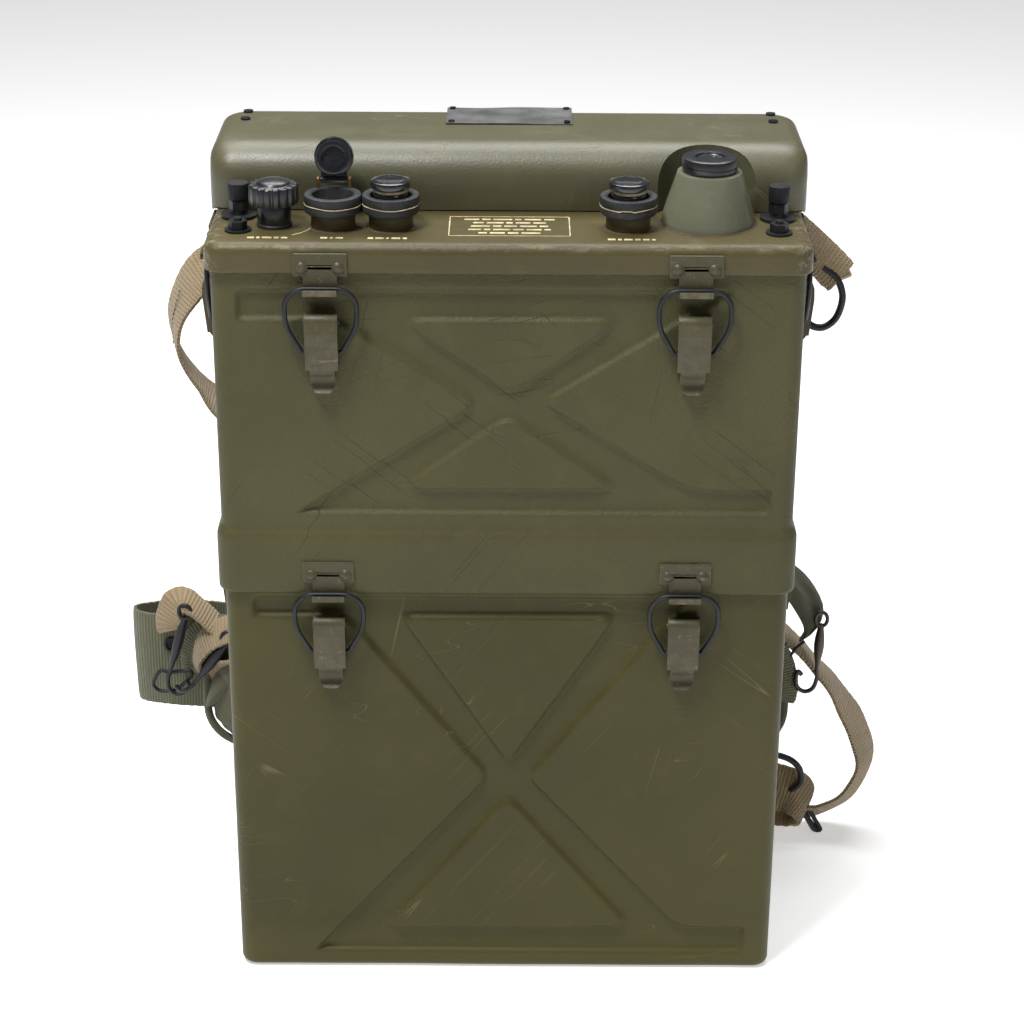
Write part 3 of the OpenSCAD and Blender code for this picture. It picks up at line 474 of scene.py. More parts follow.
def waves(x, z, seed):
    """Slow unevenness of pressed sheet, about 1 at most."""
    return (np.sin(x * 0.031 + seed) * np.sin(z * 0.043 + 1.7 * seed) + 0.6
        * np.sin(x * 0.071 - z * 0.052 + seed * 3) + 0.4 * np.sin(x * 0.018 + z * 0.11 + seed)) / 2.0


def relief(x, z, area, top_tri, bottom_tri, left, right, slope, depth):
    """Depth of the pressed channels of a front wall at x, z."""
    x0, x1, z0, z1 = area
    qx, qz = np.abs(x - (x0 + x1) / 2) - (x1 - x0) / 2, np.abs(z - (z0 + z1) / 2) - (z1 - z0) / 2
    d = soft_max(qx, qz, 5.0)
    for island in (convex(x, z, top_tri, 7.0), convex(x, z, bottom_tri, 7.0),
            convex(x, z, left, 7.0, (0,)), convex(x, z, right, 7.0, (0,))):
        d = soft_max(d, -island, 2.5)
    return depth * smooth01(-d / slope + 0.5)


def uneven(rings, seed, amount=0.28):
    """Gives the walls a slow wave, none at the corners."""
    for ring in rings:
        x, y, z = ring[:, 0], ring[:, 1], ring[:, 2]
        ring[:, 1] += amount * waves(x, z,
            seed) * smooth01((128 - np.abs(x)) / 22) * np.sign(y) * (np.abs(y) > 50)
        ring[:, 0] += amount * waves(y * 1.5, z,
            seed + 2) * smooth01((52 - np.abs(y)) / 15) * np.sign(x) * (np.abs(x) > 130)


# ---------- Cases ----------

def battery_case():
    hx, hy, r = 139.5, 64.5, 8.0
    # height and inset: the rounded bottom edge, and then the wall
    heights = [(4 - 4 * math.cos(math.radians(a)), 4 - 4 * math.sin(math.radians(a)))
        for a in range(0, 91, 15)]
    heights += [(z, 0.0) for z in np.arange(5.0, 221, 0.95)] + [(223, 0.0), (234, 0.0), (245.9, 0.0)]
    rings = [plan_ring(hx - i, hy - i, r - i * 0.6, z, front=285) for z, i in heights]
    for ring in rings:
        x, y, z = ring[:, 0], ring[:, 1], ring[:, 2]
        d = relief(x, z, (-125, 125.5, 10.5, 217), [(-53, 206.8), (1, 123.5), (54.5, 207)],
            [(-64, 23.9), (66, 25.2), (1, 104.2)],
            [(-150, 24.2), (-87.5, 24.2), (-8.5, 115.8), (-80, 207.3), (-150, 207.3)],
            [(150, 207.3), (82, 207.3), (11, 115.5), (90, 25.2), (150, 25.2)], 3.3, 2.8)
        ring[:, 1] += np.where(y < -hy + 0.01, d, 0)
    uneven(rings, 0.7)
    make("battery_case_shell", *loft_data(rings), "olive_paint", replaces=["battery_case"])


def upper_case():
    heights = [(221.0, -0.2), (221.0, 1.4), (221.4, 2.0), (222.2, 2.3)]
    heights += [(z, 2.3) for z in np.arange(224, 248.5, 1.6)]
    heights += [(250.2, 2.2), (251.6, 1.9), (252.8, 1.35), (253.8, 0.7), (254.8, 0.25), (256.2, 0.0)]
    heights += [(z, 0.0) for z in np.arange(257.5, 386, 0.95)] + [(388, -0.1), (395.8, -0.1)]
    rings = [plan_ring(140 + o, 65 + o, 8.0 + o * 0.5, z, front=285) for z, o in heights]
    for ring in rings:
        x, y, z = ring[:, 0], ring[:, 1], ring[:, 2]
        d = relief(x, z, (-127, 128, 263.3, 377), [(-51, 362.4), (1, 325.5), (53.5, 362.8)],
            [(-52, 275.6), (54.6, 276), (0.5, 313.6)],
            [(-150, 274), (-85, 274), (-14, 320.6), (-80.5, 362.8), (-150, 362.8)],
            [(150, 362.8), (82.5, 362.8), (16.4, 320.8), (88.5, 275.6), (150, 275.6)], 3.2, 2.6)
        ring[:, 1] += np.where((y < -64.9) & (z > 256), d, 0)
    uneven(rings, 2.1, 0.22)
    make("upper_case_shell", *loft_data(rings), "olive_paint_textured", replaces=["upper_case"])


def boolean(ob, cutter, op="DIFFERENCE"):
    mod = ob.modifiers.new("cut", "BOOLEAN")
    mod.operation = op
    mod.solver = "EXACT"
    mod.object = cutter
    apply_all(ob)
    bpy.data.objects.remove(cutter)


def apply_all(ob):
    deps = bpy.context.evaluated_depsgraph_get()
    deps.update()
    me = bpy.data.meshes.new_from_object(ob.evaluated_get(deps))
    me.name = ob.data.name
    ob.modifiers.clear()
    ob.data = me


def resmooth(ob, angle):
    ob.data.shade_smooth()
    ob.data.set_sharp_from_angle(angle=math.radians(angle))


def outward(me, weld=None):
    """Turns the faces outward, after joining points closer than weld, in metres."""
    bm = bmesh.new()
    bm.from_mesh(me)
    if weld:
        bmesh.ops.remove_doubles(bm, verts=bm.verts, dist=weld)
    bmesh.ops.recalc_face_normals(bm, faces=bm.faces)
    bm.to_mesh(me)
    bm.free()


def scratch_solid(data):
    """A throwaway object for a boolean."""
    me = bpy.data.meshes.new("cutter")
    me.from_pydata([tuple(c * MM for c in v) for v in data[0]], [], data[1])
    ob = bpy.data.objects.new("cutter", me)
    scene.collection.objects.link(ob)
    outward(me)
    return ob


def box_data(x0, y0, z0, x1, y1, z1):
    v = [(x, y, z) for x in (x0, x1) for y in (y0, y1) for z in (z0, z1)]
    f = [(0, 1, 3, 2), (4, 6, 7, 5), (0, 4, 5, 1), (2, 3, 7, 6), (0, 2, 6, 4), (1, 5, 7, 3)]
    return v, f


def control_panel():
    hx, hy, edge = 142.5, 67.5, 5.0
    heights = [(386.0, -2.35), (386.0, -0.5), (386.35, -0.1),
        (387, 0.0)] + [(z, 0.0) for z in (389, 391, 393, 394.5)]
    heights += [(395 + edge * math.sin(math.radians(a)), -edge * (1 - math.cos(math.radians(a))))
        for a in range(0, 91, 15)]
    inner = [(400.0, -9.0), (400.0, -14.0)]
    rings = [plan_ring(hx + o, hy + o, 9.0 + 0.6 * o, z, front=90, back=40) for z, o in heights + inner]
    for ring in rings:
        x = ring[:, 0]
        ring[:, 1] += np.where(ring[:, 1] < -60, 0.3 * waves(x * 1.6, ring[:, 2], 5.0), 0)
    ob = make("control_panel_shell", *loft_data(rings), "olive_rim", slot="olive_paint",
        replaces=["control_panel"])
    boolean(ob, scratch_solid(box_data(-80, 13, 397.4, -66, 31, 402)))
    resmooth(ob, 40)


def cover_rings(inset, z0):
    """Closed solid of the cover, shrunk by inset."""
    top, front, back, half = 431.0 - inset, -13.6 + inset, 67.0 - inset, 144.6 - inset
    rf, rs, rb = 18.0 - inset, 9.0 - inset, 15.0 - inset
    heights = [z0, z0 + 0.3] + list(np.linspace(z0 + 3, top - rf, 6))
    heights += [top - rf * (1 - math.sin(math.radians(a))) for a in range(6, 91, 6)]
    rings = []
    for z in heights:
        def pull(r):
            t = max(0.0, z - (top - r)) / r
            return r * (1 - math.sqrt(max(0.0, 1 - min(t, 1.0) ** 2)))
        f, s, b = pull(rf), pull(rs), pull(rb)
        y0, y1, hx = front + f, back - b, half - s
        rings.append(plan_ring(hx, (y1 - y0) / 2, max(12.0 - inset - 0.35 * s, 2.0), z, front=110,
            back=60, side=20, corner=9, cy=(y0 + y1) / 2))
    return rings


def tuning_cover():
    cx, cy = 95.0, -28.8
    notch = lambda r: scratch_solid(loft_data([[(cx + r * math.cos(a), cy + r * math.sin(a), z)
        for a in round_turn(96)] for z in (390, 440)]))
    rings = cover_rings(0.0, 398.2)
    for ring in rings:
        x, y, z = ring[:, 0], ring[:, 1], ring[:, 2]
        flat = smooth01((z - 402) / 8) * smooth01((140 - np.abs(x)) / 30)
        ring[:, 1] += np.where(y < 0, 0.35 * waves(x, z, 3.3) * flat, 0)
        # the foot is higher along the front, and reaches lower over the panel's sides
        low = z < 400.7
        ring[:, 2] = np.where(low & (np.abs(x) < 142.8), 400.6, z)
    outer = make("tuning_cover_shell", *loft_data(rings), "cover_paint", body="cover",
        replaces=["tuning_cover"])
    boolean(outer, notch(28.0))
    inner = scratch_solid(loft_data(cover_rings(1.6, 392.0)))
    boolean(inner, notch(29.6))
    boolean(outer, inner)
    outward(outer.data, 0.00002)
    resmooth(outer, 32)
    # leaves and knuckles that turn with the cover
    for i, s in enumerate((-1, 1)):
        x = s * 90.0
        leaf = box_data(x - 18, 67.0, 405.6, x + 18, 68.5, 418.6)
        rings = []
        for t in (-8.8, 8.8):
            rings.append([(x + t, 70.4 + 2.6 * math.cos(a), 402.6 + 2.6 * math.sin(a))
                for a in round_turn(24)])
        ob = make(f"cover_leaf_{i}", *joined(leaf, loft_data(rings),
            box_data(x - 8.8, 67, 402.6, x + 8.8, 69.6, 406)), "cover_paint", body="cover")
        soften(ob, 0.3)


def soften(ob, width, segments=2, angle=35):
    weld = ob.modifiers.new("weld", "WELD")
    weld.merge_threshold = 0.00001
    mod = ob.modifiers.new("bevel", "BEVEL")
    mod.width = width * MM
    mod.segments = segments
    mod.limit_method = "ANGLE"
    mod.angle_limit = math.radians(angle)
    mod.harden_normals = False
    return ob


battery_case()
upper_case()
control_panel()
tuning_cover()


# ---------- Panel controls ----------

VOLUME = (-110.8, -37.8)
JACKS = [(-82.9, -38.5), (-55.6, -38.5), (56.5, -38.5)]
LIDS = ("mic", "phone", "aux")
ANTENNA = (95.0, -28.8)


def rings_about(centre, specs, sides=64):
    """Closed rings from (radius at an angle, z) pairs."""
    rings = []
    for radius, z in specs:
        ring = []
        for k in range(sides):
            a = 2 * math.pi * k / sides
            r = radius(a) if callable(radius) else radius
            ring.append((centre[0] + r * math.cos(a), centre[1] + r * math.sin(a), z))
        rings.append(ring)
    return rings


def fluted(name, centre, r, z0, z1, flutes, depth, material, body, replaces, dome=None, skirt=None):
    """Moulded knob with soft round-bottomed flutes and eased edges."""
    def wall(k):
        def radius(a):
            c = math.cos(a * flutes)
            return k * (r - depth * smooth01((c + 0.15) / 1.15))
        return radius
    specs = []
    if skirt:
        specs += [(skirt[0] - 0.8, skirt[1]), (skirt[0], skirt[1] + 0.7), (skirt[0], skirt[2] - 1.2),
            (skirt[0] - 1.2, skirt[2]), (r + 0.6, skirt[2])]
    specs += [(wall(0.95), z0), (wall(1.0), z0 + 0.8), (wall(1.0), z1 - 1.1), (wall(0.975), z1 - 0.4),
        (wall(0.93), z1)]
    if dome:
        specs += [(r * 0.72, z1), (r * 0.68, z1 + 0.3)]
        specs += [(r * 0.68 * math.cos(math.radians(a)), z1 + 0.3 + dome * math.sin(math.radians(a)))
            for a in (12, 28, 45, 62, 78, 88)]
    else:
        specs += [(r * 0.8, z1), (r * 0.76, z1 - 0.5), (r * 0.4, z1 - 0.6), (0.05, z1 - 0.6)]
    return make(name, *loft_data(rings_about(centre, specs, flutes * 10)), material, body=body,
        replaces=replaces, sharp=50)


def controls():
    fluted("volume_knob_body", VOLUME, 11.75, 411.2, 420.4, 16, 1.25, "black_bakelite", "volume",
        ["volume_knob"], dome=2.4)
    fluted("tuning_knob_body", (0, 22), 16.0, 406.2, 420, 24, 1.1, "black_bakelite", "tuner",
        ["tuning_knob"], skirt=(20, 402, 406.2))
    fluted("trim_knob_body", (95, 32), 11.0, 404, 417, 20, 0.8, "black_bakelite", "trim",
        ["antenna_trim_knob"])
    fluted("squelch_knob_body", (-112, 22), 11.0, 404, 417, 20, 0.8, "black_bakelite", "squelch",
        ["squelch_knob"])
    for i, (x, y, r, z, body) in enumerate(((0, 22, 16, 419.5, "tuner"), (95, 32, 11, 416.5, "trim"),
            (-112, 22, 11, 416.5, "squelch"))):
        make(f"knob_mark_{i}", *box_data(x - 0.5, y - r * 0.92, z - 0.1, x + 0.5, y - r * 0.45, z + 0.12),
            "cream_paint", body=body)
    # neck and washer under the volume knob
    make("volume_neck", *lathe_data([(8.4, 400), (8.4, 401.4), (7.9, 402), (6.6, 402.2), (6.4, 405),
        (7.6, 405.4), (7.8, 408), (7.0, 410.3), (3.2, 410.4)], VOLUME, 48), "black_rubber")
    for i, (p, lid) in enumerate(zip(JACKS, LIDS)):
        make(f"{lid}_collar", *lathe_data([(10.1, 400), (10.5, 400.6), (10.5, 406.6), (10.2, 407.5),
            (6.5, 407.5), (6.2, 407.2), (6.2, 401), (0.02, 401)], p), "olive_rim", slot="olive_paint")
        outer = [(9.0, 407.5), (12.9, 407.5), (13.5, 408.0), (13.6, 409.0), (13.6, 410.5), (13.3, 411.1),
            (13.25, 411.6), (13.6, 412.1), (13.6, 415.1), (13.35, 415.8), (12.6, 416.1), (10.6, 416.1),
            (9.85, 415.6), (9.7, 414.6), (9.4, 411.5), (8.7, 407.9)]
        rings = []
        for j, (r, z) in enumerate(outer):
            ring = []
            for k in range(96):
                a = 2 * math.pi * k / 96
                w = 0.16 * math.sin(3 * a + i) + 0.1 * math.sin(7 * a + 2 * i + j)
                rr = r + (w * 0.6 if r > 11 else w * 0.3)
                ring.append((p[0] + rr * math.cos(a), p[1] + rr * math.sin(a),
                    z + (w * 0.6 if 409 < z < 415 else 0)))
            rings.append(ring)
        ears = [box_data(p[0] + s * 7.4 - 0.8, p[1] + 9.1, 415.6, p[0] + s * 7.4 + 0.8, p[1] + 12.5, 420.9)
            for s in (-1, 1)]
        make(f"{lid}_boot", *loft_data(rings, False, False, wrap=True), "black_rubber")
        soften(make(f"{lid}_ears", *joined(*ears), "brass"), 0.45, 3)
        # moulding line that stands proud of the groove, with a small splice
        line = []
        for k in range(96):
            a = 2 * math.pi * k / 96
            dz = 0.22 * math.sin(2 * a + i * 1.3) + 0.12 * math.sin(5 * a) + (0.55
                if abs(math.sin(a * 0.5 + 0.4 + i)) > 0.995 else 0)
            c, s = math.cos(a), math.sin(a)
            line.append([(p[0] + (13.36 + 0.34 * math.cos(b)) * c,
                p[1] + (13.36 + 0.34 * math.cos(b)) * s, 411.55 + dz + 0.30 * math.sin(b))
                for b in round_turn(8)])
        make(f"{lid}_boot_line", *loft_data(line, False, False, wrap=True), "cream_rubber")
        ring = lathe_data([(6.5, 407.45), (9.3, 407.45), (9.1, 408.0), (8.4, 408.15), (6.9, 408.0),
            (6.35, 407.7)], p)
        make(f"{lid}_contact_ring", *ring, "plated_steel")
        # rusty line round the foot
        make(f"{lid}_foot_line", *lathe_data([(10.2, 400.0), (11.5, 400.0), (11.3, 400.22),
            (10.4, 400.5)], p), "rust")
    foot = lathe_data([(22.2, 400.0), (23.6, 400.0), (23.4, 400.3), (22.6, 400.7)], ANTENNA, 96)
    make("insulator_foot_line", *foot, "rust")
    make("insulator_cone", *lathe_data([(21.9, 400.0), (22.7, 400.4), (22.75, 401.2), (22.3, 402.6),
        (19.2, 413.0), (15.6, 424.2), (15.3, 425.0), (14.6, 425.3), (8.1, 425.3)], ANTENNA, 128),
        "insulator_enamel", replaces=["antenna_insulator"])
    make("antenna_ring", *lathe_data([(12.9, 425.0), (13.1, 425.3), (13.1, 427.6), (12.75, 427.9),
        (12.75, 428.3), (13.25, 428.7), (13.25, 431.3), (12.9, 432.1), (12.1, 432.5), (8.3, 432.5),
        (7.2, 432.2), (6.9, 431.5), (6.6, 431.2)], ANTENNA, 96), "black_bakelite", replaces=["antenna_cap"])
    make("antenna_bush", *lathe_data([(8.0, 425), (8.0, 431.0), (6.4, 431.0), (6.2, 430.6), (6.2, 403.2),
        (0.02, 403.2)], ANTENNA, 64), "black_steel", slot="plated_steel", replaces=["antenna_socket"])


def cap_point(jack, angle):
    """A function that carries a point of the closed cap to where it stands at rest."""
    hy, hz = jack[1] + 10.8, 419.5
    a = math.radians(-angle)
    c, s = math.cos(a), math.sin(a)

    def fn(v):
        y, z = v[1] - hy, v[2] - hz
        return (v[0], hy + y * c - z * s, hz + y * s + z * c)
    return fn


# the lower face of a cap, which is hollow where the cap stands open, and the rest of its section
PLAIN_FOOT = [(7.6, 414.6), (8.05, 414.8)]
HOLLOW_FOOT = [(5.2, 416.4), (5.6, 414.8), (7.4, 414.6), (8.0, 414.8)]
PLUG = [(8.2, 415.3), (8.2, 416.4), (7.9, 416.9), (6.6, 416.9), (6.6, 419.2), (8.6, 419.2), (9.2, 419.5),
    (9.4, 420.2), (9.4, 421.8), (9.1, 422.6), (8.2, 423.0), (6.2, 423.05), (5.6, 422.8), (0.02, 422.75)]
CAP_ANGLES = (100, 0, 0)


def caps():
    for lid, p, angle in zip(LIDS, JACKS, CAP_ANGLES):
        fn = cap_point(p, angle)
        plug = lathe_data((HOLLOW_FOOT if lid == "mic" else PLAIN_FOOT) + PLUG, p, 72)
        arm = box_data(p[0] - 6.2, p[1] + 6, 419.3, p[0] + 6.2, p[1] + 10.8, 421.2)
        knuckle = loft_data([[(x, p[1] + 10.8 + 1.65 * math.cos(a), 419.5 + 1.65 * math.sin(a))
            for a in round_turn(20)] for x in (p[0] - 6.2, p[0] + 6.2)])
        pin = loft_data([[(x, p[1] + 10.8 + 0.65 * math.cos(a), 419.5 + 0.65 * math.sin(a))
            for a in round_turn(12)] for x in (p[0] - 8.4, p[0] + 8.4)])
        parts = joined(plug, arm, knuckle, pin)
        make(f"{lid}_cap_body", *moved(parts, fn), "black_gloss", body=f"{lid}_lid", slot="black_rubber",
            replaces=[f"{lid}_cap"])
        seal = lathe_data([(6.6, 417.25), (7.6, 417.2), (7.95, 417.5), (8.0, 418.0), (7.9, 418.6),
            (7.5, 418.85), (6.6, 418.8)], p, 72)
        make(f"{lid}_cap_ring", *moved(seal, fn), "cream_rubber", body=f"{lid}_lid",
            replaces=[f"{lid}_cap_seal"])


controls()
caps()


# ---------- Markings without words ----------

def bar(x, y, w, h, z=400.0, t=0.12):
    return box_data(x - w / 2, y - h / 2, z - 0.05, x + w / 2, y + h / 2, z + t)


def markings():
    parts = []
    for cx, widths in ((-112.5, (3.2, 1.6, 4.4, 2.2, 3.0)), (-82.5, (3.4, 1.4, 3.6)),
            (-56.5, (2.6, 3.8, 1.4, 4.2, 2.0)), (57.5, (3.6, 1.8, 4.0, 2.6, 3.2, 1.6))):
        total = sum(widths) + 1.1 * (len(widths) - 1)
        x = cx - total / 2
        for w in widths:
            parts.append(bar(x + w / 2, -57.2, w, 2.3))
            x += w + 1.1
    make("panel_bars", *joined(*parts), "cream_paint")
    # framed block of short bars
    x0, x1, y0, y1 = -28.0, 28.9, -52.5, -22.5
    t = 0.55
    parts = [bar((x0 + x1) / 2, y0, x1 - x0, t), bar((x0 + x1) / 2, y1, x1 - x0, t),
        bar(x0, (y0 + y1) / 2, t, y1 - y0), bar(x1, (y0 + y1) / 2, t, y1 - y0)]
    rows = [(7, 4, 9, 3, 8, 5), (5, 8, 3, 7, 6), (9, 4, 6, 8, 4), (6, 3, 8, 5, 7, 3), (4, 7, 5, 9)]
    for r, widths in enumerate(rows):
        total = sum(widths) + 1.4 * (len(widths) - 1)
        x = (x0 + x1) / 2 - total / 2
        for w in widths:
            parts.append(bar(x + w / 2, y1 - 4.4 - r * 5.3, w, 1.9))
            x += w + 1.4
    make("panel_note_frame", *joined(*parts), "cream_paint")
    # swept line by the volume knob
    inner, outer = [[(VOLUME[0] + r * math.cos(math.radians(a)), VOLUME[1] + r * math.sin(math.radians(a)))
        for a in range(-58, -4, 4)] for r in (17.5, 18.1)]
    ring = inner + outer[::-1]
    make("panel_sweep_line", *loft_data([[(x, y, z) for x, y in ring] for z in (399.9, 400.12)]),
        "cream_paint")


markings()


# ---------- Dial ----------

def dial():
    parts = []
    for k in range(-45, 46):
        a = math.radians(180 + k * 2)
        length = 5.0 if k % 5 == 0 else 2.6
        c, s = math.cos(a), math.sin(a)
        r0, r1, w = 33.5 - length, 33.5, 0.22 if k % 5 else 0.34
        quad = [(r0, -w), (r1, -w), (r1, w), (r0, w)]
        pts = [(-45 + r * c - t * s, 22 + r * s + t * c) for r, t in quad]
        parts.append(loft_data([[(x, y, z) for x, y in pts] for z in (394.3, 394.5)]))
    make("dial_marks", *joined(*parts), "dark_gap", body="dial")
    for i, k in enumerate(range(-40, 41, 10)):
        curve = bpy.data.curves.new(f"dial_number_{i}", "FONT")
        curve.body = str(28 + i)
        curve.size = 4.2 * MM
        curve.align_x = "CENTER"
        curve.extrude = 0.00008
        ob = bpy.data.objects.new(f"dial_number_{i}", curve)
        scene.collection.objects.link(ob)
        a = math.radians(180 + k * 2)
        ob.rotation_euler = (0, 0, a + math.pi / 2)
        ob.location = ((-45 + 24.5 * math.cos(a)) * MM, (22 + 24.5 * math.sin(a)) * MM, 394.45 * MM)
        curve.materials.append(M["dark_gap"])
        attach(ob, "dial")


dial()


# ---------- Nameplate ----------

def slab_faces(n, m):
    """Faces of a closed slab whose two sides are grids of n by m points, one after the other."""
    k = n * m
    faces = []
    for j in range(m - 1):
        for i in range(n - 1):
            a, b, c, d = j * n + i, j * n + i + 1, (j + 1) * n + i + 1, (j + 1) * n + i
            faces += [(a, b, c, d), (k + d, k + c, k + b, k + a)]
    for i in range(n - 1):
        faces += [(i + 1, i, k + i, k + i + 1),
            (k - n + i, k - n + i + 1, 2 * k - n + i + 1, 2 * k - n + i)]
    for j in range(m - 1):
        a, b = j * n, (j + 1) * n
        faces += [(a, b, k + b, k + a), (b + n - 1, a + n - 1, k + a + n - 1, k + b + n - 1)]
    return faces


def nameplate():
    n, m = 26, 13
    def height(u, v):
        return 0.25 * math.sin(2.4 * u) * v + 0.16 * math.sin(5 * u + 1) + 0.12 * math.cos(3 * v)
    top, low = [], []
    for j in range(m):
        for i in range(n):
            u, v = 2 * i / (n - 1) - 1, 2 * j / (m - 1) - 1
            x, y = 31.3 * u, 45.3 + 15.3 * v
            lift = height(u, v) * 0.8 + 0.3
            top.append((x, y, 431.62 + lift))
            low.append((x, y, 431.02 + lift * 0.55))
    verts = top + low
    make("nameplate_sheet", verts, slab_faces(n, m), "bare_aluminium", body="cover", replaces=["nameplate"])


nameplate()


# ---------- Latches ----------

UPPER = [(-87.5, -65, 180, 389), (87.5, -65, 180, 389), (-140, -12, 90, 389), (140, -12, -90, 389)]
LOWER = [(-87.5, -64.5, 180, 231), (87.5, -64.5, 180, 231), (-139.5, 5, 90, 231), (139.5, 5, -90, 231)]


def at_latch(place, v):
    x, y, a, z = place
    c, s = math.cos(math.radians(a)), math.sin(math.radians(a))
    return (x + c * v[0] - s * v[1], y + s * v[0] + c * v[1], z + v[2])


def tube_data(points, r, sides=12, closed=False):
    """Round wire along 3-D points. r is one number, or one for each point."""
    p = [Vector(q) for q in points]
    n = len(p)
    rings, up = [], None
    for i in range(n):
        a = p[(i - 1) % n] if closed else p[max(i - 1, 0)]
        b = p[(i + 1) % n] if closed else p[min(i + 1, n - 1)]
        t = (b - a).normalized()
        if up is None:
            up = t.orthogonal().normalized()
        up = (up - t * up.dot(t)).normalized()
        side = t.cross(up)
        rr = r[i] if hasattr(r, "__len__") else r
        rings.append([tuple(p[i] + rr * (math.cos(k) * up + math.sin(k) * side))
            for k in round_turn(sides)])
    if closed:
        return loft_data(rings, False, False, wrap=True)
    return loft_data(rings)


def spline(points, steps=8, closed=False):
    """Catmull-Rom curve through points."""
    p = [np.array(q, float) for q in points]
    n = len(p)
    out = []
    for i in range(n if closed else n - 1):
        p0 = p[(i - 1) % n] if closed or i > 0 else p[i]
        p1, p2 = p[i], p[(i + 1) % n]
        p3 = p[(i + 2) % n] if closed or i + 2 < n else p2
        for k in range(steps):
            t = k / steps
            out.append(0.5 * ((2 * p1) + (p2 - p0) * t + (2 * p0 - 5 * p1 + 4 * p2 - p3) * t ** 2
                + (3 * p1 - p0 - 3 * p2 + p3) * t ** 3))
    if not closed:
        out.append(p[-1])
    return out


def bail_line():
    """Half of the bail in its own plane: bar, bow and pin."""
    pts = [(0.0, 0.0)]
    x, y, heading = 0.0, 0.0, 0.0
    for length, radius, turn in ((7.3, 9.6, -90), (3.3, 20, -30), (8.66, 2, -60)):
        x, y = x + length * math.cos(heading), y + length * math.sin(heading)
        pts.append((x, y))
        s = 1 if turn > 0 else -1
        cx, cy = x - s * radius * math.sin(heading), y + s * radius * math.cos(heading)
        steps = max(4, int(abs(turn) / 7))
        for k in range(1, steps + 1):
            h = heading + math.radians(turn) * k / steps
            pts.append((cx + s * radius * math.sin(h), cy - s * radius * math.cos(h)))
        heading += math.radians(turn)
        x, y = pts[-1]
    pts.append((5.56, y))
    return pts


def latches():
    half = bail_line()
    lean = math.radians(90) - math.atan2(5.45 - 5.0, -9.6 + 41.0)
    line = [(-x, y) for x, y in half[:0:-1]] + half
    for level, places in (("upper", UPPER), ("lower", LOWER)):
        for i, place in enumerate(places, 1):
            wire = []
            for x, y in line:
                y += 31.4
                wire.append(at_latch(place, (x, 5.0 + y * math.cos(lean), -41.0 + y * math.sin(lean))))
            make(f"{level}_bail_wire_{i}", *tube_data(wire, 1.2, 14), "black_steel",
                body=f"{level}_loop_{i}", replaces=[f"{level}_bail_{i}"])


latches()


# ---------- CAD nodes that stay ----------

KEPT = {
    "case_gaskets": ("black_rubber", 0), "cover_hinge": ("olive_rim", 0.3),
        "cover_hinge_pins": ("plated_steel", 0),
    "cover_screws": ("black_steel", 0.2), "rotary_controls": ("black_bakelite", 0.3),
        "jack_collars": ("dark_gap", 0),
    "jack_boots": ("dark_gap", 0), "binding_posts": ("black_steel", 0.25),
        "left_thumb_nut": ("black_steel", 0.2),
    "right_thumb_nut": ("black_steel", 0.2), "tuning_shaft": ("plated_steel", 0),
        "tuning_dial": ("dial_white", 0),
    "dial_window": ("window_glass", 0), "chassis": ("plated_steel", 0.3), "valves": ("valve_glass", 0),
    "if_cans": ("bare_aluminium", 0.8), "capacitor_frame": ("bare_aluminium", 0.2),
        "capacitor_rotor": ("bare_aluminium", 0),
    "battery_pack": ("battery_card", 2.0), "latch_hooks": ("latch_paint", 0.45),
        "latch_rivets": ("latch_paint", 0),
    "latch_brackets": ("latch_paint", 0.2),
}
for level in ("upper", "lower"):
    for i in range(1, 5):
        KEPT[f"{level}_lever_{i}"] = ("latch_paint", 0.4)


def keep_nodes():
    for name, (material, width) in KEPT.items():
        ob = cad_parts[name]
        ob.data.materials.clear()
        ob.data.materials.append(M[material])
        if width:
            soften(ob, width)


def drop(obj_name, *nodes):
    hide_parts(*nodes)


keep_nodes()
drop("mic_boot", "jack_boots")
drop("mic_collar", "jack_collars")


# ---------- Harness ----------

def resample(points, step):
    """Smooth line through points with an even step, as an array."""
    fine = np.array(spline(points, 16))
    gaps = np.linalg.norm(np.diff(fine, axis=0), axis=1)
    s = np.concatenate([[0], np.cumsum(gaps)])
    n = max(4, int(round(s[-1] / step)))
    t = np.linspace(0, s[-1], n + 1)
    return np.stack([np.interp(t, s, fine[:, k]) for k in range(3)], axis=1), t


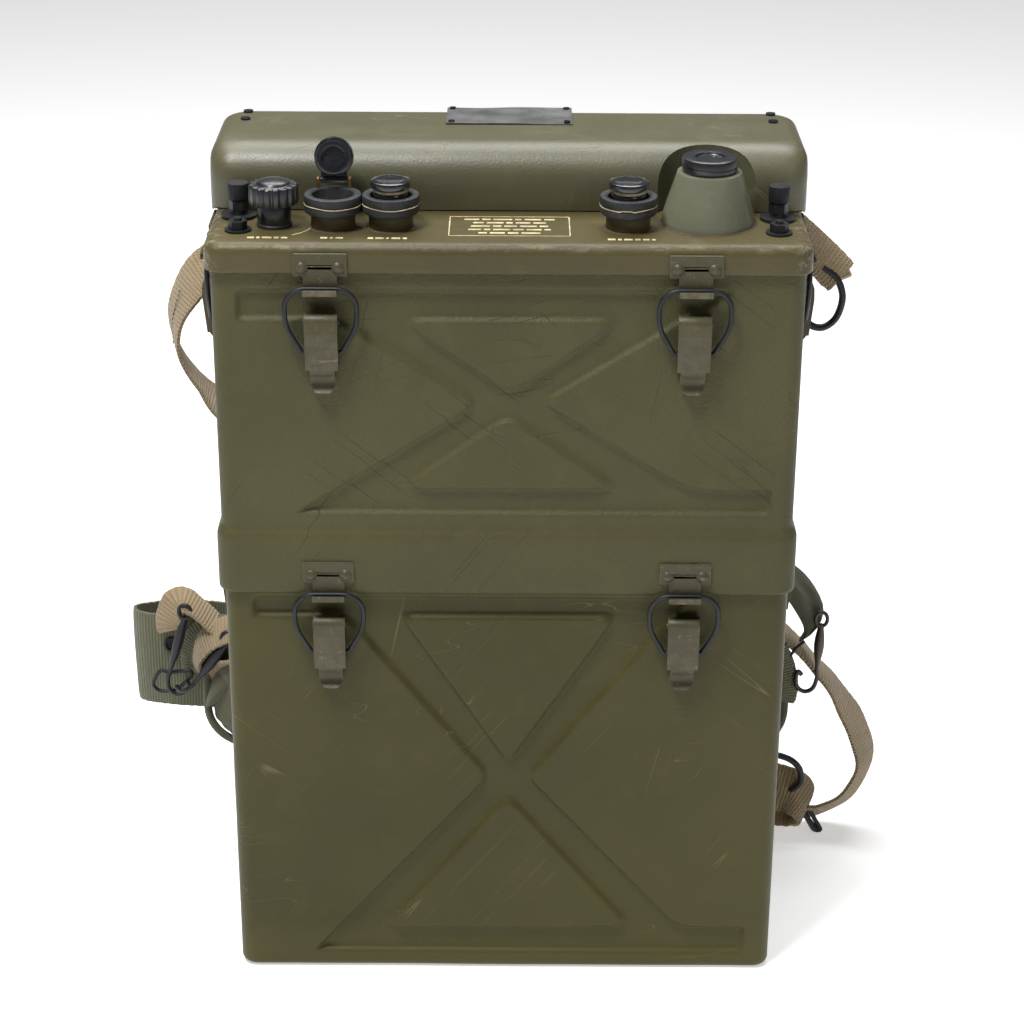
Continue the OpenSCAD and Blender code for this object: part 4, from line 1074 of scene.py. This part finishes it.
def band(name, points, faces_to, width, thick, material, slot=None, step=1.6, wave=0.5, seed=1.0, cup=0.4,
        across=9, replaces=(), frayed=0.25):
    """Woven band along points. faces_to gives the way its broad side looks, at even shares of its length."""
    line, s = resample(points, step)
    n = len(line)
    ways = np.array(faces_to, float)
    looks = np.stack([np.interp(np.linspace(0, 1, n), np.linspace(0, 1, len(ways)), ways[:, k])
        for k in range(3)], axis=1)
    widths = width if hasattr(width, "__len__") else (width, width)
    w_at = np.interp(np.linspace(0, 1, n), np.linspace(0, 1, len(widths)), widths)
    uvs, rings = [], []
    for i in range(n):
        t = line[min(i + 1, n - 1)] - line[max(i - 1, 0)]
        t /= np.linalg.norm(t)
        face = looks[i] - t * looks[i].dot(t)
        face /= max(np.linalg.norm(face), 1e-6)
        side = np.cross(t, face)
        w = w_at[i]
        top, low = [], []
        for k in range(across):
            u = 2 * k / (across - 1) - 1
            lift = wave * math.sin(s[i] * 0.09 + seed * 2 + u * 1.1) * 0.6 + wave * 0.4 * math.sin(s[i]
                * 0.23 + seed) - cup * u * u
            edge = 1.0 if abs(u) < 0.99 else 0.72
            reach = w / 2 * u + (frayed * math.sin(s[i] * 1.9 + seed * 7) * math.sin(s[i] * 0.7 + u)
                if abs(u) > 0.99 else 0)
            centre = line[i] + side * reach + face * lift
            top.append((tuple(centre + face * thick / 2 * edge), (w / 2 * u * MM, s[i] * MM)))
            low.append((tuple(centre - face * thick / 2 * edge), (w / 2 * u * MM, s[i] * MM)))
        rings.append([v for v, _ in top] + [v for v, _ in low[::-1]])
        uvs += [uv for _, uv in top] + [uv for _, uv in low[::-1]]
    data = loft_data(rings)
    ob = make(name, *data, material, slot=slot, uvs=uvs, sharp=70, replaces=replaces)
    return ob


def stitches(name, points, faces_to, off, pitch=2.6, length=1.7, r=0.32, material="thread"):
    """Row of thread stitches along a line, lifted to the surface."""
    line, _ = resample(points, pitch)
    parts = []
    for i in range(len(line) - 1):
        a, b = line[i], line[i + 1]
        d = (b - a) / np.linalg.norm(b - a)
        face = np.array(faces_to, float)
        face /= np.linalg.norm(face)
        mid = (a + b) / 2
        pts = [tuple(mid + d * length * k / 2 + face * (off + 0.22 * (1 - k * k)))
            for k in (-1, -0.5, 0, 0.5, 1)]
        parts.append(tube_data(pts, r, 6))
    return make(name, *joined(*parts), material)


def wire(name, points, r, sides=10, closed=False, material="black_steel", **more):
    return make(name, *tube_data(points, r, sides, closed=closed), material, **more)


def eyelet(name, centre, face, r0=2.9, r1=5.0, h=0.9):
    f = Vector(face).normalized()
    u = f.orthogonal().normalized()
    v = f.cross(u)
    prof = [(r0, -h), (r0 + 0.3, h * 0.7), ((r0 + r1) / 2, h), (r1, h * 0.5), (r1, 0.0), (r0 + 0.5, -h)]
    rings = []
    for k in range(40):
        a = 2 * math.pi * k / 40
        d = u * math.cos(a) + v * math.sin(a)
        rings.append([tuple(Vector(centre) + d * r + f * z) for r, z in prof])
    make(name, *loft_data(rings, False, False, wrap=True), "black_steel")
    # painted shadow: a dark disc fills the eyelet hole and stands for the shade inside it
    disc = [[tuple(Vector(centre) + (u * math.cos(a) + v * math.sin(a)) * rr + f * z)
        for a in round_turn(24)] for rr, z in ((r0 + 0.1, -0.2), (r0 + 0.1, 0.15))]
    make(name + "_hole", *loft_data(disc), "dark_gap", slot="black_steel")


def thick_plate(name, outline, y0, y1, material, bevel=0.5):
    """Flat piece with an XZ outline."""
    ob = make(name, *loft_data([[(x, y, z) for x, z in outline] for y in (y0, y1)]), material,
        slot="black_steel")
    soften(ob, bevel, 2)
    return ob


def waist_belt():
    y0 = 85.3
    zc = 101.5
    pts = [(-108, y0 + 0.2, zc), (-122, y0 + 0.2, zc), (-150, y0 + 0.6, zc), (-182, y0 + 2.4, zc + 0.5),
        (-203, y0 + 5.5, zc + 0.8), (-211.2, y0 + 12.5, zc + 0.6), (-207, y0 + 20.5, zc),
        (-192, y0 + 25.0, zc), (-170, y0 + 23.4, zc), (-146, y0 + 15, zc), (-120, y0 + 6.5, zc),
        (-90, y0 + 4.6, zc), (-20, y0 + 4.2, zc), (60, y0 + 4.2, zc), (120, y0 + 4.2, zc)]
    line, _ = resample(pts, 1.6)
    tang = np.gradient(line, axis=0)
    face = np.stack([tang[:, 1], -tang[:, 0], tang[:, 2] * 0], axis=1)
    face = -face / np.linalg.norm(face, axis=1)[:, None]
    picks = [tuple(face[i]) for i in np.linspace(0, len(face) - 1, 40).astype(int)]
    band("waist_belt_web", pts, picks, 57, 2.4, "olive_webbing", wave=0.7, seed=2.2, cup=0.3, across=15,
        step=1.5, replaces=["waist_belt"])
    eyelet("belt_eyelet_1", (-190.0, y0 + 1.8, 113.0), (0.10, -1, 0))
    eyelet("belt_eyelet_2", (-190.5, y0 + 23.8, 113.0), (0.12, -1, 0))
    for i, (x, up) in enumerate(((60, 12), (60, -12), (90, 12), (90, -12)), 3):
        eyelet(f"belt_eyelet_{i}", (x, y0 + 5.7, zc + up), (0, 1, 0))


# voxel size and the furthest that a point may travel in the cloth simulation, in metres
PAD_VOXEL = 0.0052
PAD_TRAVEL = 0.007
SIM_FRAMES = 20


def back_pad():
    """Canvas pad swollen by cloth simulation, with its sewn channels and bound edge made after it."""
    x, z0, z1, y0, y1 = 160.0, 57.0, 199.0, 66.4, 80.6
    nx, nz = 53, 25
    verts = []

    def taper(px, pz):
        """Narrower above the belt, and fuller below it on the left."""
        low = smooth01((136 - pz) / 26)
        return px * ((145 + 24 * low if px < 0 else 146 + 11 * low) / x)

    def corner(px, pz):
        """Pulls the outline in at its round corners."""
        r = 24.0
        ax, az = abs(px) - (x - r), abs(pz - (z0 + z1) / 2) - ((z1 - z0) / 2 - r)
        if ax > 0 and az > 0:
            d = math.hypot(ax, az)
            if d > r:
                k = r / d
                px = math.copysign((x - r) + ax * k, px)
                pz = (z0 + z1) / 2 + math.copysign(((z1 - z0) / 2 - r) + az * k, pz - (z0 + z1) / 2)
        return taper(px, pz), pz
    for y in (y0, y1):
        for j in range(nz):
            for i in range(nx):
                px, pz = corner(x * (2 * i / (nx - 1) - 1), z0 + (z1 - z0) * j / (nz - 1))
                rim = max(abs(2 * i / (nx - 1) - 1), abs(2 * j / (nz - 1) - 1))
                lean = 3.5 * smooth01((rim - 0.86) / 0.14)
                verts.append((px, y + (lean if y == y0 else -lean), pz))
    me = bpy.data.meshes.new("back_pad_cloth")
    me.from_pydata([tuple(c * MM for c in v) for v in verts], [], slab_faces(nx, nz))
    outward(me)
    ob = bpy.data.objects.new("back_pad_cloth", me)
    scene.collection.objects.link(ob)
    swell(ob, PAD_VOXEL, PAD_TRAVEL)
    sub = ob.modifiers.new("fine", "SUBSURF")
    sub.levels = 1
    sub.render_levels = 1
    apply_all(ob)
    # sewn channels and slow folds, which the remesh would have removed
    co = np.empty(len(ob.data.vertices) * 3)
    ob.data.vertices.foreach_get("co", co)
    co = co.reshape(-1, 3) / MM
    px, py, pz = co[:, 0], co[:, 1], co[:, 2]
    mid = (y0 + y1) / 2
    side = np.sign(py - mid)
    seam = np.zeros(len(px))
    for sx in (-104, -52, 0, 52, 104):
        seam = np.maximum(seam, np.exp(-((px - sx) / 2.6) ** 2))
    ex = x - np.abs(px)
    ez = np.minimum(pz - z0, z1 - pz)
    seam = np.maximum(seam, np.exp(-((np.minimum(ex, ez) - 10) / 2.4) ** 2))
    fold = 0.7 * np.sin(px * 0.09 + pz * 0.05) * np.sin(pz * 0.11 + 1) + 0.4 * np.sin(px * 0.23 - pz * 0.17)
    co[:, 1] += side * (-2.0 * seam + fold * (side > 0)) * smooth01(np.minimum(ex, ez) / 8)
    co[:, 1] = np.clip(co[:, 1], 65.2, 84.4)
    ob.data.vertices.foreach_set("co", (co * MM).ravel())
    ob.data.shade_smooth()
    ob.data.update()
    ob.data.materials.append(M["olive_canvas"])
    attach(ob, "root")
    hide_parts("back_pad")
    # bound edge: a rolled binding round the pad
    rim = []
    r, hx, hz, cz = 24.0, x + 0.5, (z1 - z0) / 2 + 0.5, (z0 + z1) / 2
    for sx, sz, a0, a1 in ((1, 1, 0, 90), (-1, 1, 90, 180), (-1, -1, 180, 270), (1, -1, 270, 360)):
        for a in np.radians(np.linspace(a0, a1, 13)):
            rim.append((sx * (hx - r) + r * math.cos(a), cz + sz * (hz - r) + r * math.sin(a)))
    line = []
    for k, p in enumerate(rim):
        q = rim[(k + 1) % len(rim)]
        steps = max(1, int(math.dist(p, q) / 4))
        line += [(p[0] + (q[0] - p[0]) * t / steps, p[1] + (q[1] - p[1]) * t / steps) for t in range(steps)]
    line = [(taper(px, pz), mid + 0.5 * math.sin(px * 0.06 + pz * 0.04), pz) for px, pz in line]
    wire("pad_binding", line, 2.3, 12, closed=True, material="olive_canvas")
    return ob


def swell(ob, voxel, cap):
    """Cloth pressure from inside. Travel sideways is cut to a fifth, and then the whole of it to cap."""
    rem = ob.modifiers.new("remesh", "REMESH")
    rem.mode = "VOXEL"
    rem.voxel_size = voxel
    apply_all(ob)
    start = np.empty(len(ob.data.vertices) * 3)
    ob.data.vertices.foreach_get("co", start)
    cloth = ob.modifiers.new("cloth", "CLOTH")
    cloth.settings.quality = 5
    cloth.settings.mass = 0.3
    cloth.settings.tension_stiffness = 15
    cloth.settings.compression_stiffness = 15
    cloth.settings.bending_stiffness = 0.5
    cloth.settings.use_pressure = True
    cloth.settings.uniform_pressure_force = 4.0
    cloth.settings.effector_weights.gravity = 0
    cloth.collision_settings.use_collision = False
    cloth.point_cache.frame_start = 1
    cloth.point_cache.frame_end = SIM_FRAMES
    for f in range(1, SIM_FRAMES + 1):
        scene.frame_set(f)
    apply_all(ob)
    end = np.empty(len(ob.data.vertices) * 3)
    ob.data.vertices.foreach_get("co", end)
    move = (end - start).reshape(-1, 3) * (0.2, 1.0, 0.2)
    far = np.linalg.norm(move, axis=1)
    move *= np.minimum(1.0, cap / np.maximum(far, 1e-9))[:, None]
    ob.data.vertices.foreach_set("co", start + move.ravel())
    ob.data.update()
    scene.frame_set(1)


def crumpled(name, rows, material, slot=None):
    """Gathered cloth: a closed skin through rows of (x, y, z) points."""
    data = loft_data([spline(r, 5, closed=True) for r in rows])
    ob = make(name, *data, material, slot=slot, sharp=80)
    sub = ob.modifiers.new("fine", "SUBSURF")
    sub.levels = 1
    sub.render_levels = 1
    return ob


def ellipse(c, a, b, n=12, fold=0.0, seed=0.0):
    """Ring of points about c with half sizes a (a vector) and b (a vector), and folds."""
    out = []
    for k in range(n):
        t = 2 * math.pi * k / n
        w = 1 + fold * math.sin(3 * t + seed) + fold * 0.6 * math.sin(5 * t + seed * 2)
        out.append(tuple(np.array(c) + np.array(a) * math.cos(t) * w + np.array(b) * math.sin(t) * w))
    return out


def snap_hook(name, top, bottom, y, material, curl):
    """Harness hook: eye, swelling shank, and a bent wire end."""
    tx, tz = top
    bx, bz = bottom
    n = 12
    line, radius = [], []
    for k in range(n + 1):
        t = k / n
        line.append((tx + (bx - tx) * t, y, tz + (bz - tz) * t))
        radius.append(1.5 + 1.6 * math.sin(math.pi * min(1, t * 1.15)) ** 1.3 - 0.5 * t)
    wire(name + "_shank", line, radius, 12, material=material, slot="black_steel")
    wire(name + "_bend", spline([(x, y + d, z) for x, z, d in curl], 8), 1.25, material=material,
        slot="black_steel")
    eye = [(tx + 3.4 * math.cos(a), y + 0.4 * math.sin(a), tz + 3.0 + 4.2 * math.sin(a))
        for a in round_turn(16)]
    wire(name + "_eye", eye, 1.1, closed=True, material=material, slot="black_steel")


def straps():
    tan = "tan_webbing"
    # upper left strap, bowed out past the case
    band("left_upper_strap", [(-112, 74.5, 371), (-124, 74, 361), (-138, 73, 352.5), (-150, 73, 347.5),
        (-161, 73.5, 340), (-170, 72, 329), (-175.8, 70, 315), (-176.5, 69.5, 301), (-171, 71, 287),
        (-163, 73, 274), (-152, 74.5, 263), (-140, 76, 253), (-124, 77, 243), (-104, 77.5, 236)],
        [(0.0, 0.9, 0.4), (-0.3, 0.5, 0.8), (-0.45, -0.70, 0.55), (-0.75, -0.50, 0.4),
        (-0.95, -0.22, 0.1), (-0.95, -0.1, -0.15), (-0.8, 0.3, -0.5), (-0.3, 0.9, -0.3), (0, 1, 0)], 25,
        2.4, tan, seed=0.4, wave=0.8, replaces=["harness_straps"])
    # small loop over the belt, folded down over its hook
    band("left_fold_strap", [(-150, 77, 119), (-161, 79, 128), (-171, 80, 137.5), (-179, 80.5, 144),
        (-184.5, 80.3, 144.2), (-188.5, 79.5, 138), (-190.5, 79, 131), (-189, 78.5, 126)],
        [(0.66, -0.2, 0.72)] * 4 + [(0.15, -0.4, 0.9), (-0.5, -0.78, 0.35), (-0.5, -0.82, 0.25)], 18, 2.2,
        tan, seed=1.9, wave=0.4)
    band("left_lower_loop", [(-150, 68, 134), (-158, 70, 131), (-167, 73, 124.5), (-173.5, 75, 115.5),
        (-175.5, 75.5, 107), (-172, 75, 100.5), (-165, 73, 101.5), (-156, 70, 109), (-150, 68, 113)],
        [(-0.5, -0.5, 0.7), (-0.7, -0.5, 0.45), (-0.92, -0.3, 0.0), (-0.6, -0.5, -0.6),
        (0.4, -0.5, -0.75)], 17, 2.2, tan, seed=2.7, wave=0.4)
    band("left_olive_strap", [(-150, 80, 127), (-160, 81.5, 127.5), (-170, 82, 125), (-177, 82, 118),
        (-179.5, 82, 108), (-178, 81.5, 98)],
        [(0, -0.7, 0.7), (-0.2, -0.8, 0.5), (-0.5, -0.85, 0), (-0.4, -0.9, -0.1)], 14, 2.0,
        "olive_webbing", seed=3.3, wave=0.5)
    # right: folded end on the steel loop
    band("right_upper_fold", [(112, 75, 374), (128, 71.5, 375), (141, 67.5, 371), (150, 66.5, 364),
        (160, 67, 355), (168, 67, 347), (173.5, 66.5, 341)],
        [(0.1, -0.95, 0.2), (0.2, -0.9, 0.3), (0.3, -0.78, 0.5), (0.35, -0.8, 0.45), (0.5, -0.8, 0.3)],
        21, 3.6, tan, seed=4.1, wave=0.6)
    band("right_upper_fold_back", [(141, 71, 368), (152, 71.5, 359), (163, 71.8, 349), (170, 71.3, 341),
        (172.6, 69.2, 338)], [(0.3, -0.78, 0.5), (0.35, -0.8, 0.45), (0.5, -0.8, 0.3)], 19, 2.4, tan,
        seed=4.9, wave=0.4)
    band("right_side_strap", [(104, 77, 288), (122, 76.5, 281), (138, 75.5, 270), (147.5, 75, 258),
        (151, 75, 245), (151.2, 75, 230), (148, 77, 214), (136, 83, 198), (120, 85.8, 186)],
        [(0.0, 1.0, 0.1), (0.3, 0.8, 0.4), (0.9, 0.1, 0.3), (1, -0.12, 0.0), (0.95, 0.1, -0.2),
        (0.5, 0.8, -0.3), (0.0, 1, 0)], 25, 2.4, tan, seed=5.3, wave=0.5)
    # long twisting loop at the lower right
    band("right_lower_loop", [(112, 86.5, 142), (130, 86.2, 140), (146, 84.5, 134), (158, 80.5, 125),
        (171, 77.5, 112), (185, 76.5, 94.5), (198.5, 76, 72), (205.5, 76, 53), (204, 76, 37),
        (196, 76.5, 22.5), (184, 77.5, 13), (172, 78, 10.5), (158, 77, 12), (144, 72.5, 15),
        (128, 69.0, 18), (114, 68.5, 20)],
        [(0.0, 1.0, 0.1), (0.4, 0.6, 0.7), (0.62, -0.10, 0.75), (0.65, -0.10, 0.72), (0.75, -0.20, 0.6),
        (0.87, -0.38, 0.25), (0.86, -0.50, 0.0), (0.75, -0.55, -0.35), (0.5, -0.62, -0.6),
        (0.15, -0.75, -0.65), (0.05, -0.9, -0.4), (0.0, -1, 0)], (22, 22, 20, 22, 24, 24, 24, 23, 22, 22),
        2.4, tan, seed=6.1, wave=0.7)
    band("right_buckle_fold", [(112, 67.8, 38), (128, 68.0, 37), (144, 69.6, 35), (156, 69.5, 32),
        (165, 69.5, 29), (171.5, 70, 22), (172, 72, 15), (166, 74, 13), (150, 75, 14)],
        [(0.0, -1, 0.1), (0.1, -0.98, 0.2), (0.25, -0.95, 0.2), (0.3, -0.95, 0.15), (0.8, -0.6, 0.0),
        (0.8, 0.2, -0.5), (0, 0.9, -0.3)], (25, 25, 27, 27, 24, 18, 16), 2.8, tan, seed=7.7, wave=0.6)
    band("right_olive_tab", [(152, 69, 122), (156, 69, 113), (158.5, 69, 103), (159, 69, 94),
        (157.5, 69, 88.5)], [(0.2, -0.95, 0.1)] * 3, 10.5, 2.4, "olive_webbing", seed=8.2, wave=0.2)
    # shoulder straps on the back
    for s in (-1, 1):
        band(f"shoulder_strap_{'l' if s < 0 else 'r'}",
            [(s * 70, 79.5, 172), (s * 73, 83.5, 190), (s * 77, 79.0, 206), (s * 82, 72.5, 232),
            (s * 88, 71.0, 270), (s * 95, 70.5, 310), (s * 102, 70.0, 345), (s * 105, 69.6, 366),
            (s * 106, 70.5, 380)], [(0, 1, 0.1), (0, 1, 0.05), (0, 0.98, 0.15), (0, 1, 0)],
            (44, 48, 52, 52, 48, 44, 42), 3.4, "olive_webbing", seed=9 + s, wave=0.5, across=15)
        x = s * 104
        pts = [(x - 28, 72.4, 369), (x + 28, 72.4, 369), (x + 28, 72.4, 377), (x - 28, 72.4, 377)]
        wire(f"shoulder_slide_{'l' if s < 0 else 'r'}", round_corners(pts, 2.5), 1.7, closed=True)
        thick_plate(f"shoulder_anchor_{'l' if s < 0 else 'r'}",
            [(x - 26, 366), (x + 26, 366), (x + 26, 372), (x - 26, 372)], 66.3, 68.0, "black_steel")
    stitches("strap_stitches_l", [(-171, 70.6, 331), (-175.5, 68.4, 316), (-176, 68.2, 301)],
        (-0.95, -0.25, 0.1), 1.3)


def round_corners(points, r, steps=4):
    """Closed line with rounded corners."""
    out = []
    n = len(points)
    for i in range(n):
        p, a, b = (np.array(points[j % n], float) for j in (i, i - 1, i + 1))
        u, v = (a - p) / np.linalg.norm(a - p), (b - p) / np.linalg.norm(b - p)
        for k in range(steps + 1):
            t = k / steps
            out.append(tuple((1 - t) ** 2 * (p + u * r) + 2 * t * (1 - t) * p + t * t * (p + v * r)))
    return out


def hardware():
    # steel loop at the upper right, through the folded strap
    loop = [(163, 347), (171, 341), (174.5, 331), (172, 320), (166, 314.5), (159.5, 315), (155, 320),
        (156, 326)]
    wire("right_steel_loop", spline([(x, 63.5, z) for x, z in loop], 8), 1.9, 12,
        replaces=["harness_hardware"])
    # gathered canvas and its hook at the right
    rows = []
    for (x, z), (ax, az), dy, seed in (((147, 168), (5, 7), 8, 0.2), ((153, 164), (6, 8), 8, 0.5),
            ((160, 157), (6, 9), 8.5, 1.0), ((166, 149), (6.5, 9.5), 8, 1.8),
            ((170.5, 141.5), (7.5, 7.5), 7.5, 2.6), ((172, 134.5), (6.0, 5.5), 6.5, 3.1),
            ((169, 128), (4.5, 5.0), 5.5, 3.9), ((165, 125), (2.2, 3.2), 3.5, 4.5)):
        rows.append(ellipse((x, 76, z), (ax * 0.8, 0, az * 0.75), (0, dy, 0), 14, 0.14, seed))
    crumpled("right_canvas_gather", rows, "olive_canvas")
    snap_hook("right_hook", (174.6, 138.5), (173.6, 108), 66.5, "brown_steel",
        [(173.7, 110, 0), (173.9, 104, 0), (172, 98, 0.3), (168, 95.8, 0.6), (164, 97.8, 0.8),
        (162.4, 102.5, 1.0), (163.4, 108, 1.4), (165.6, 106, 1.5)])
    thick_plate("strap_anchor", [(103, 6), (117, 6), (117, 54), (103, 54)], 64.7, 66.4, "olive_rim", 0.8)
    wire("anchor_wire", round_corners([(106, 70.5, 8), (114, 70.5, 8), (114, 70.5, 52), (106, 70.5, 52)],
        2.5), 1.5, closed=True)
    wire("right_wire_bar", [(166, 68, 127), (161.5, 69, 122), (158, 70, 115)], 0.9, 8)
    wire("right_buckle_wire", spline([(152, 67, 55), (157, 66.5, 54.2), (163, 66, 51.5), (167.5, 66, 46),
        (168.6, 66.3, 38.5), (166, 66.8, 34), (162, 70, 30)], 8), 1.8, 12)
    slide = [(169.0, 18.5), (173.0, 19.0), (183.0, 2.0), (178.6, 1.6)]
    tilt = lambda x: 68.5 + (183 - x) * 0.25
    ring = [(x, tilt(x) + 3.5, z) for x, z in slide]
    wire("right_slide", round_corners(ring, 2.0), 1.35, closed=True)
    wire("right_slide_bar", [(170.2, 73.6, 17.2), (175, 72.2, 9.6), (179.8, 71.6, 2.6)], 1.5)
    # hooks and the open ring at the left
    snap_hook("left_hook", (-180.0, 137), (-190.8, 100), 74.0, "black_steel",
        [(-190.6, 101.5, 0), (-191.6, 97, 0), (-191, 91.5, 0), (-187.5, 88.2, 0), (-183, 88.9, 0),
        (-179.8, 93, 0.4), (-181.5, 96.5, 0.9)])
    tri = [(-198.6, 98.0), (-195.4, 101.6), (-190.6, 100.6), (-180.0, 101.8), (-178.6, 98.6),
        (-183.5, 93.0), (-189.5, 89.0), (-197.0, 88.8), (-200.4, 92.6)]
    wire("left_ring", spline([(x, 76.6, z) for x, z in tri], 6, closed=True), 1.15, closed=True)
    snap_hook("left_hook_2", (-156, 124), (-177, 97.6), 66.8, "black_steel",
        [(-176, 98.6, 0), (-179.4, 95.2, 0), (-183.4, 94.4, 0.2), (-186.4, 97.0, 0.5)])
    crumpled("left_canvas_gather", [ellipse((x, 74, z), (rx, 0, rz), (0, ry, 0), 14, 0.10, s) for x, z,
        rx, rz, ry, s in ((-150, 96, 2, 4, 4, 0.3), (-155, 97, 5, 10, 7, 0.8), (-161, 96, 5, 13, 8, 1.5),
        (-166, 93, 4, 13, 7.5, 2.2), (-169.5, 89, 2, 9, 5, 3.0))], "olive_canvas")


back_pad()
waist_belt()
straps()
hardware()


# ---------- Stage ----------

def stage():
    floor = bpy.data.meshes.new("floor")
    s = FLOOR_HALF
    floor.from_pydata([(-s, -s, -0.0002), (s, -s, -0.0002), (s, s, -0.0002), (-s, s, -0.0002)], [],
        [(0, 1, 2, 3)])
    ob = bpy.data.objects.new("floor", floor)
    scene.collection.objects.link(ob)
    n = Nodes("floor_white")
    n.finish((0.85, 0.85, 0.85), 0.95, **{"Emission Color": (1, 1, 1, 1), "Emission Strength": FLOOR_GLOW})
    ob.data.materials.append(n.mat)
    world = bpy.data.worlds.new("studio")
    scene.world = world
    world.use_nodes = True
    world.node_tree.nodes["Background"].inputs[0].default_value = (1, 1, 1, 1)
    world.node_tree.nodes["Background"].inputs[1].default_value = WORLD_LIGHT

    def softbox(name, place, target, size, power):
        light = bpy.data.lights.new(name, "AREA")
        light.shape = "RECTANGLE"
        light.size, light.size_y = size
        light.energy = power
        lamp = bpy.data.objects.new(name, light)
        scene.collection.objects.link(lamp)
        lamp.location = place
        lamp.rotation_euler = (Vector(target) - Vector(place)).to_track_quat("-Z", "Y").to_euler()

    softbox("top_light", (0.0, 0.55, 1.75), (0, 0, 0.35), (1.6, 0.9), 30)
    softbox("front_left", (-0.55, -0.62, 2.1), (0, -0.06, 0.22), (0.5, 0.4), 40)
    softbox("front_right", (1.3, -1.4, 1.6), (0, 0, 0.22), (0.7, 0.7), 4)
    cam = bpy.data.cameras.new("camera")
    cam.lens = CAMERA_LENS
    cam.sensor_width = 36
    cam.clip_start = 0.05
    cam.clip_end = 50
    eye = bpy.data.objects.new("camera", cam)
    scene.collection.objects.link(eye)
    pitch = Matrix.Rotation(math.radians(90 - CAMERA_DOWN), 4, "X")
    roll = Matrix.Rotation(math.radians(CAMERA_ROLL), 4, "Z")
    eye.matrix_world = Matrix.Translation(CAMERA_PLACE) @ pitch @ roll
    scene.camera = eye
    scene.view_settings.view_transform = "Standard"
    scene.view_settings.look = "None"
    scene.view_settings.exposure = 0.0
    scene.view_settings.gamma = 1.0


stage()
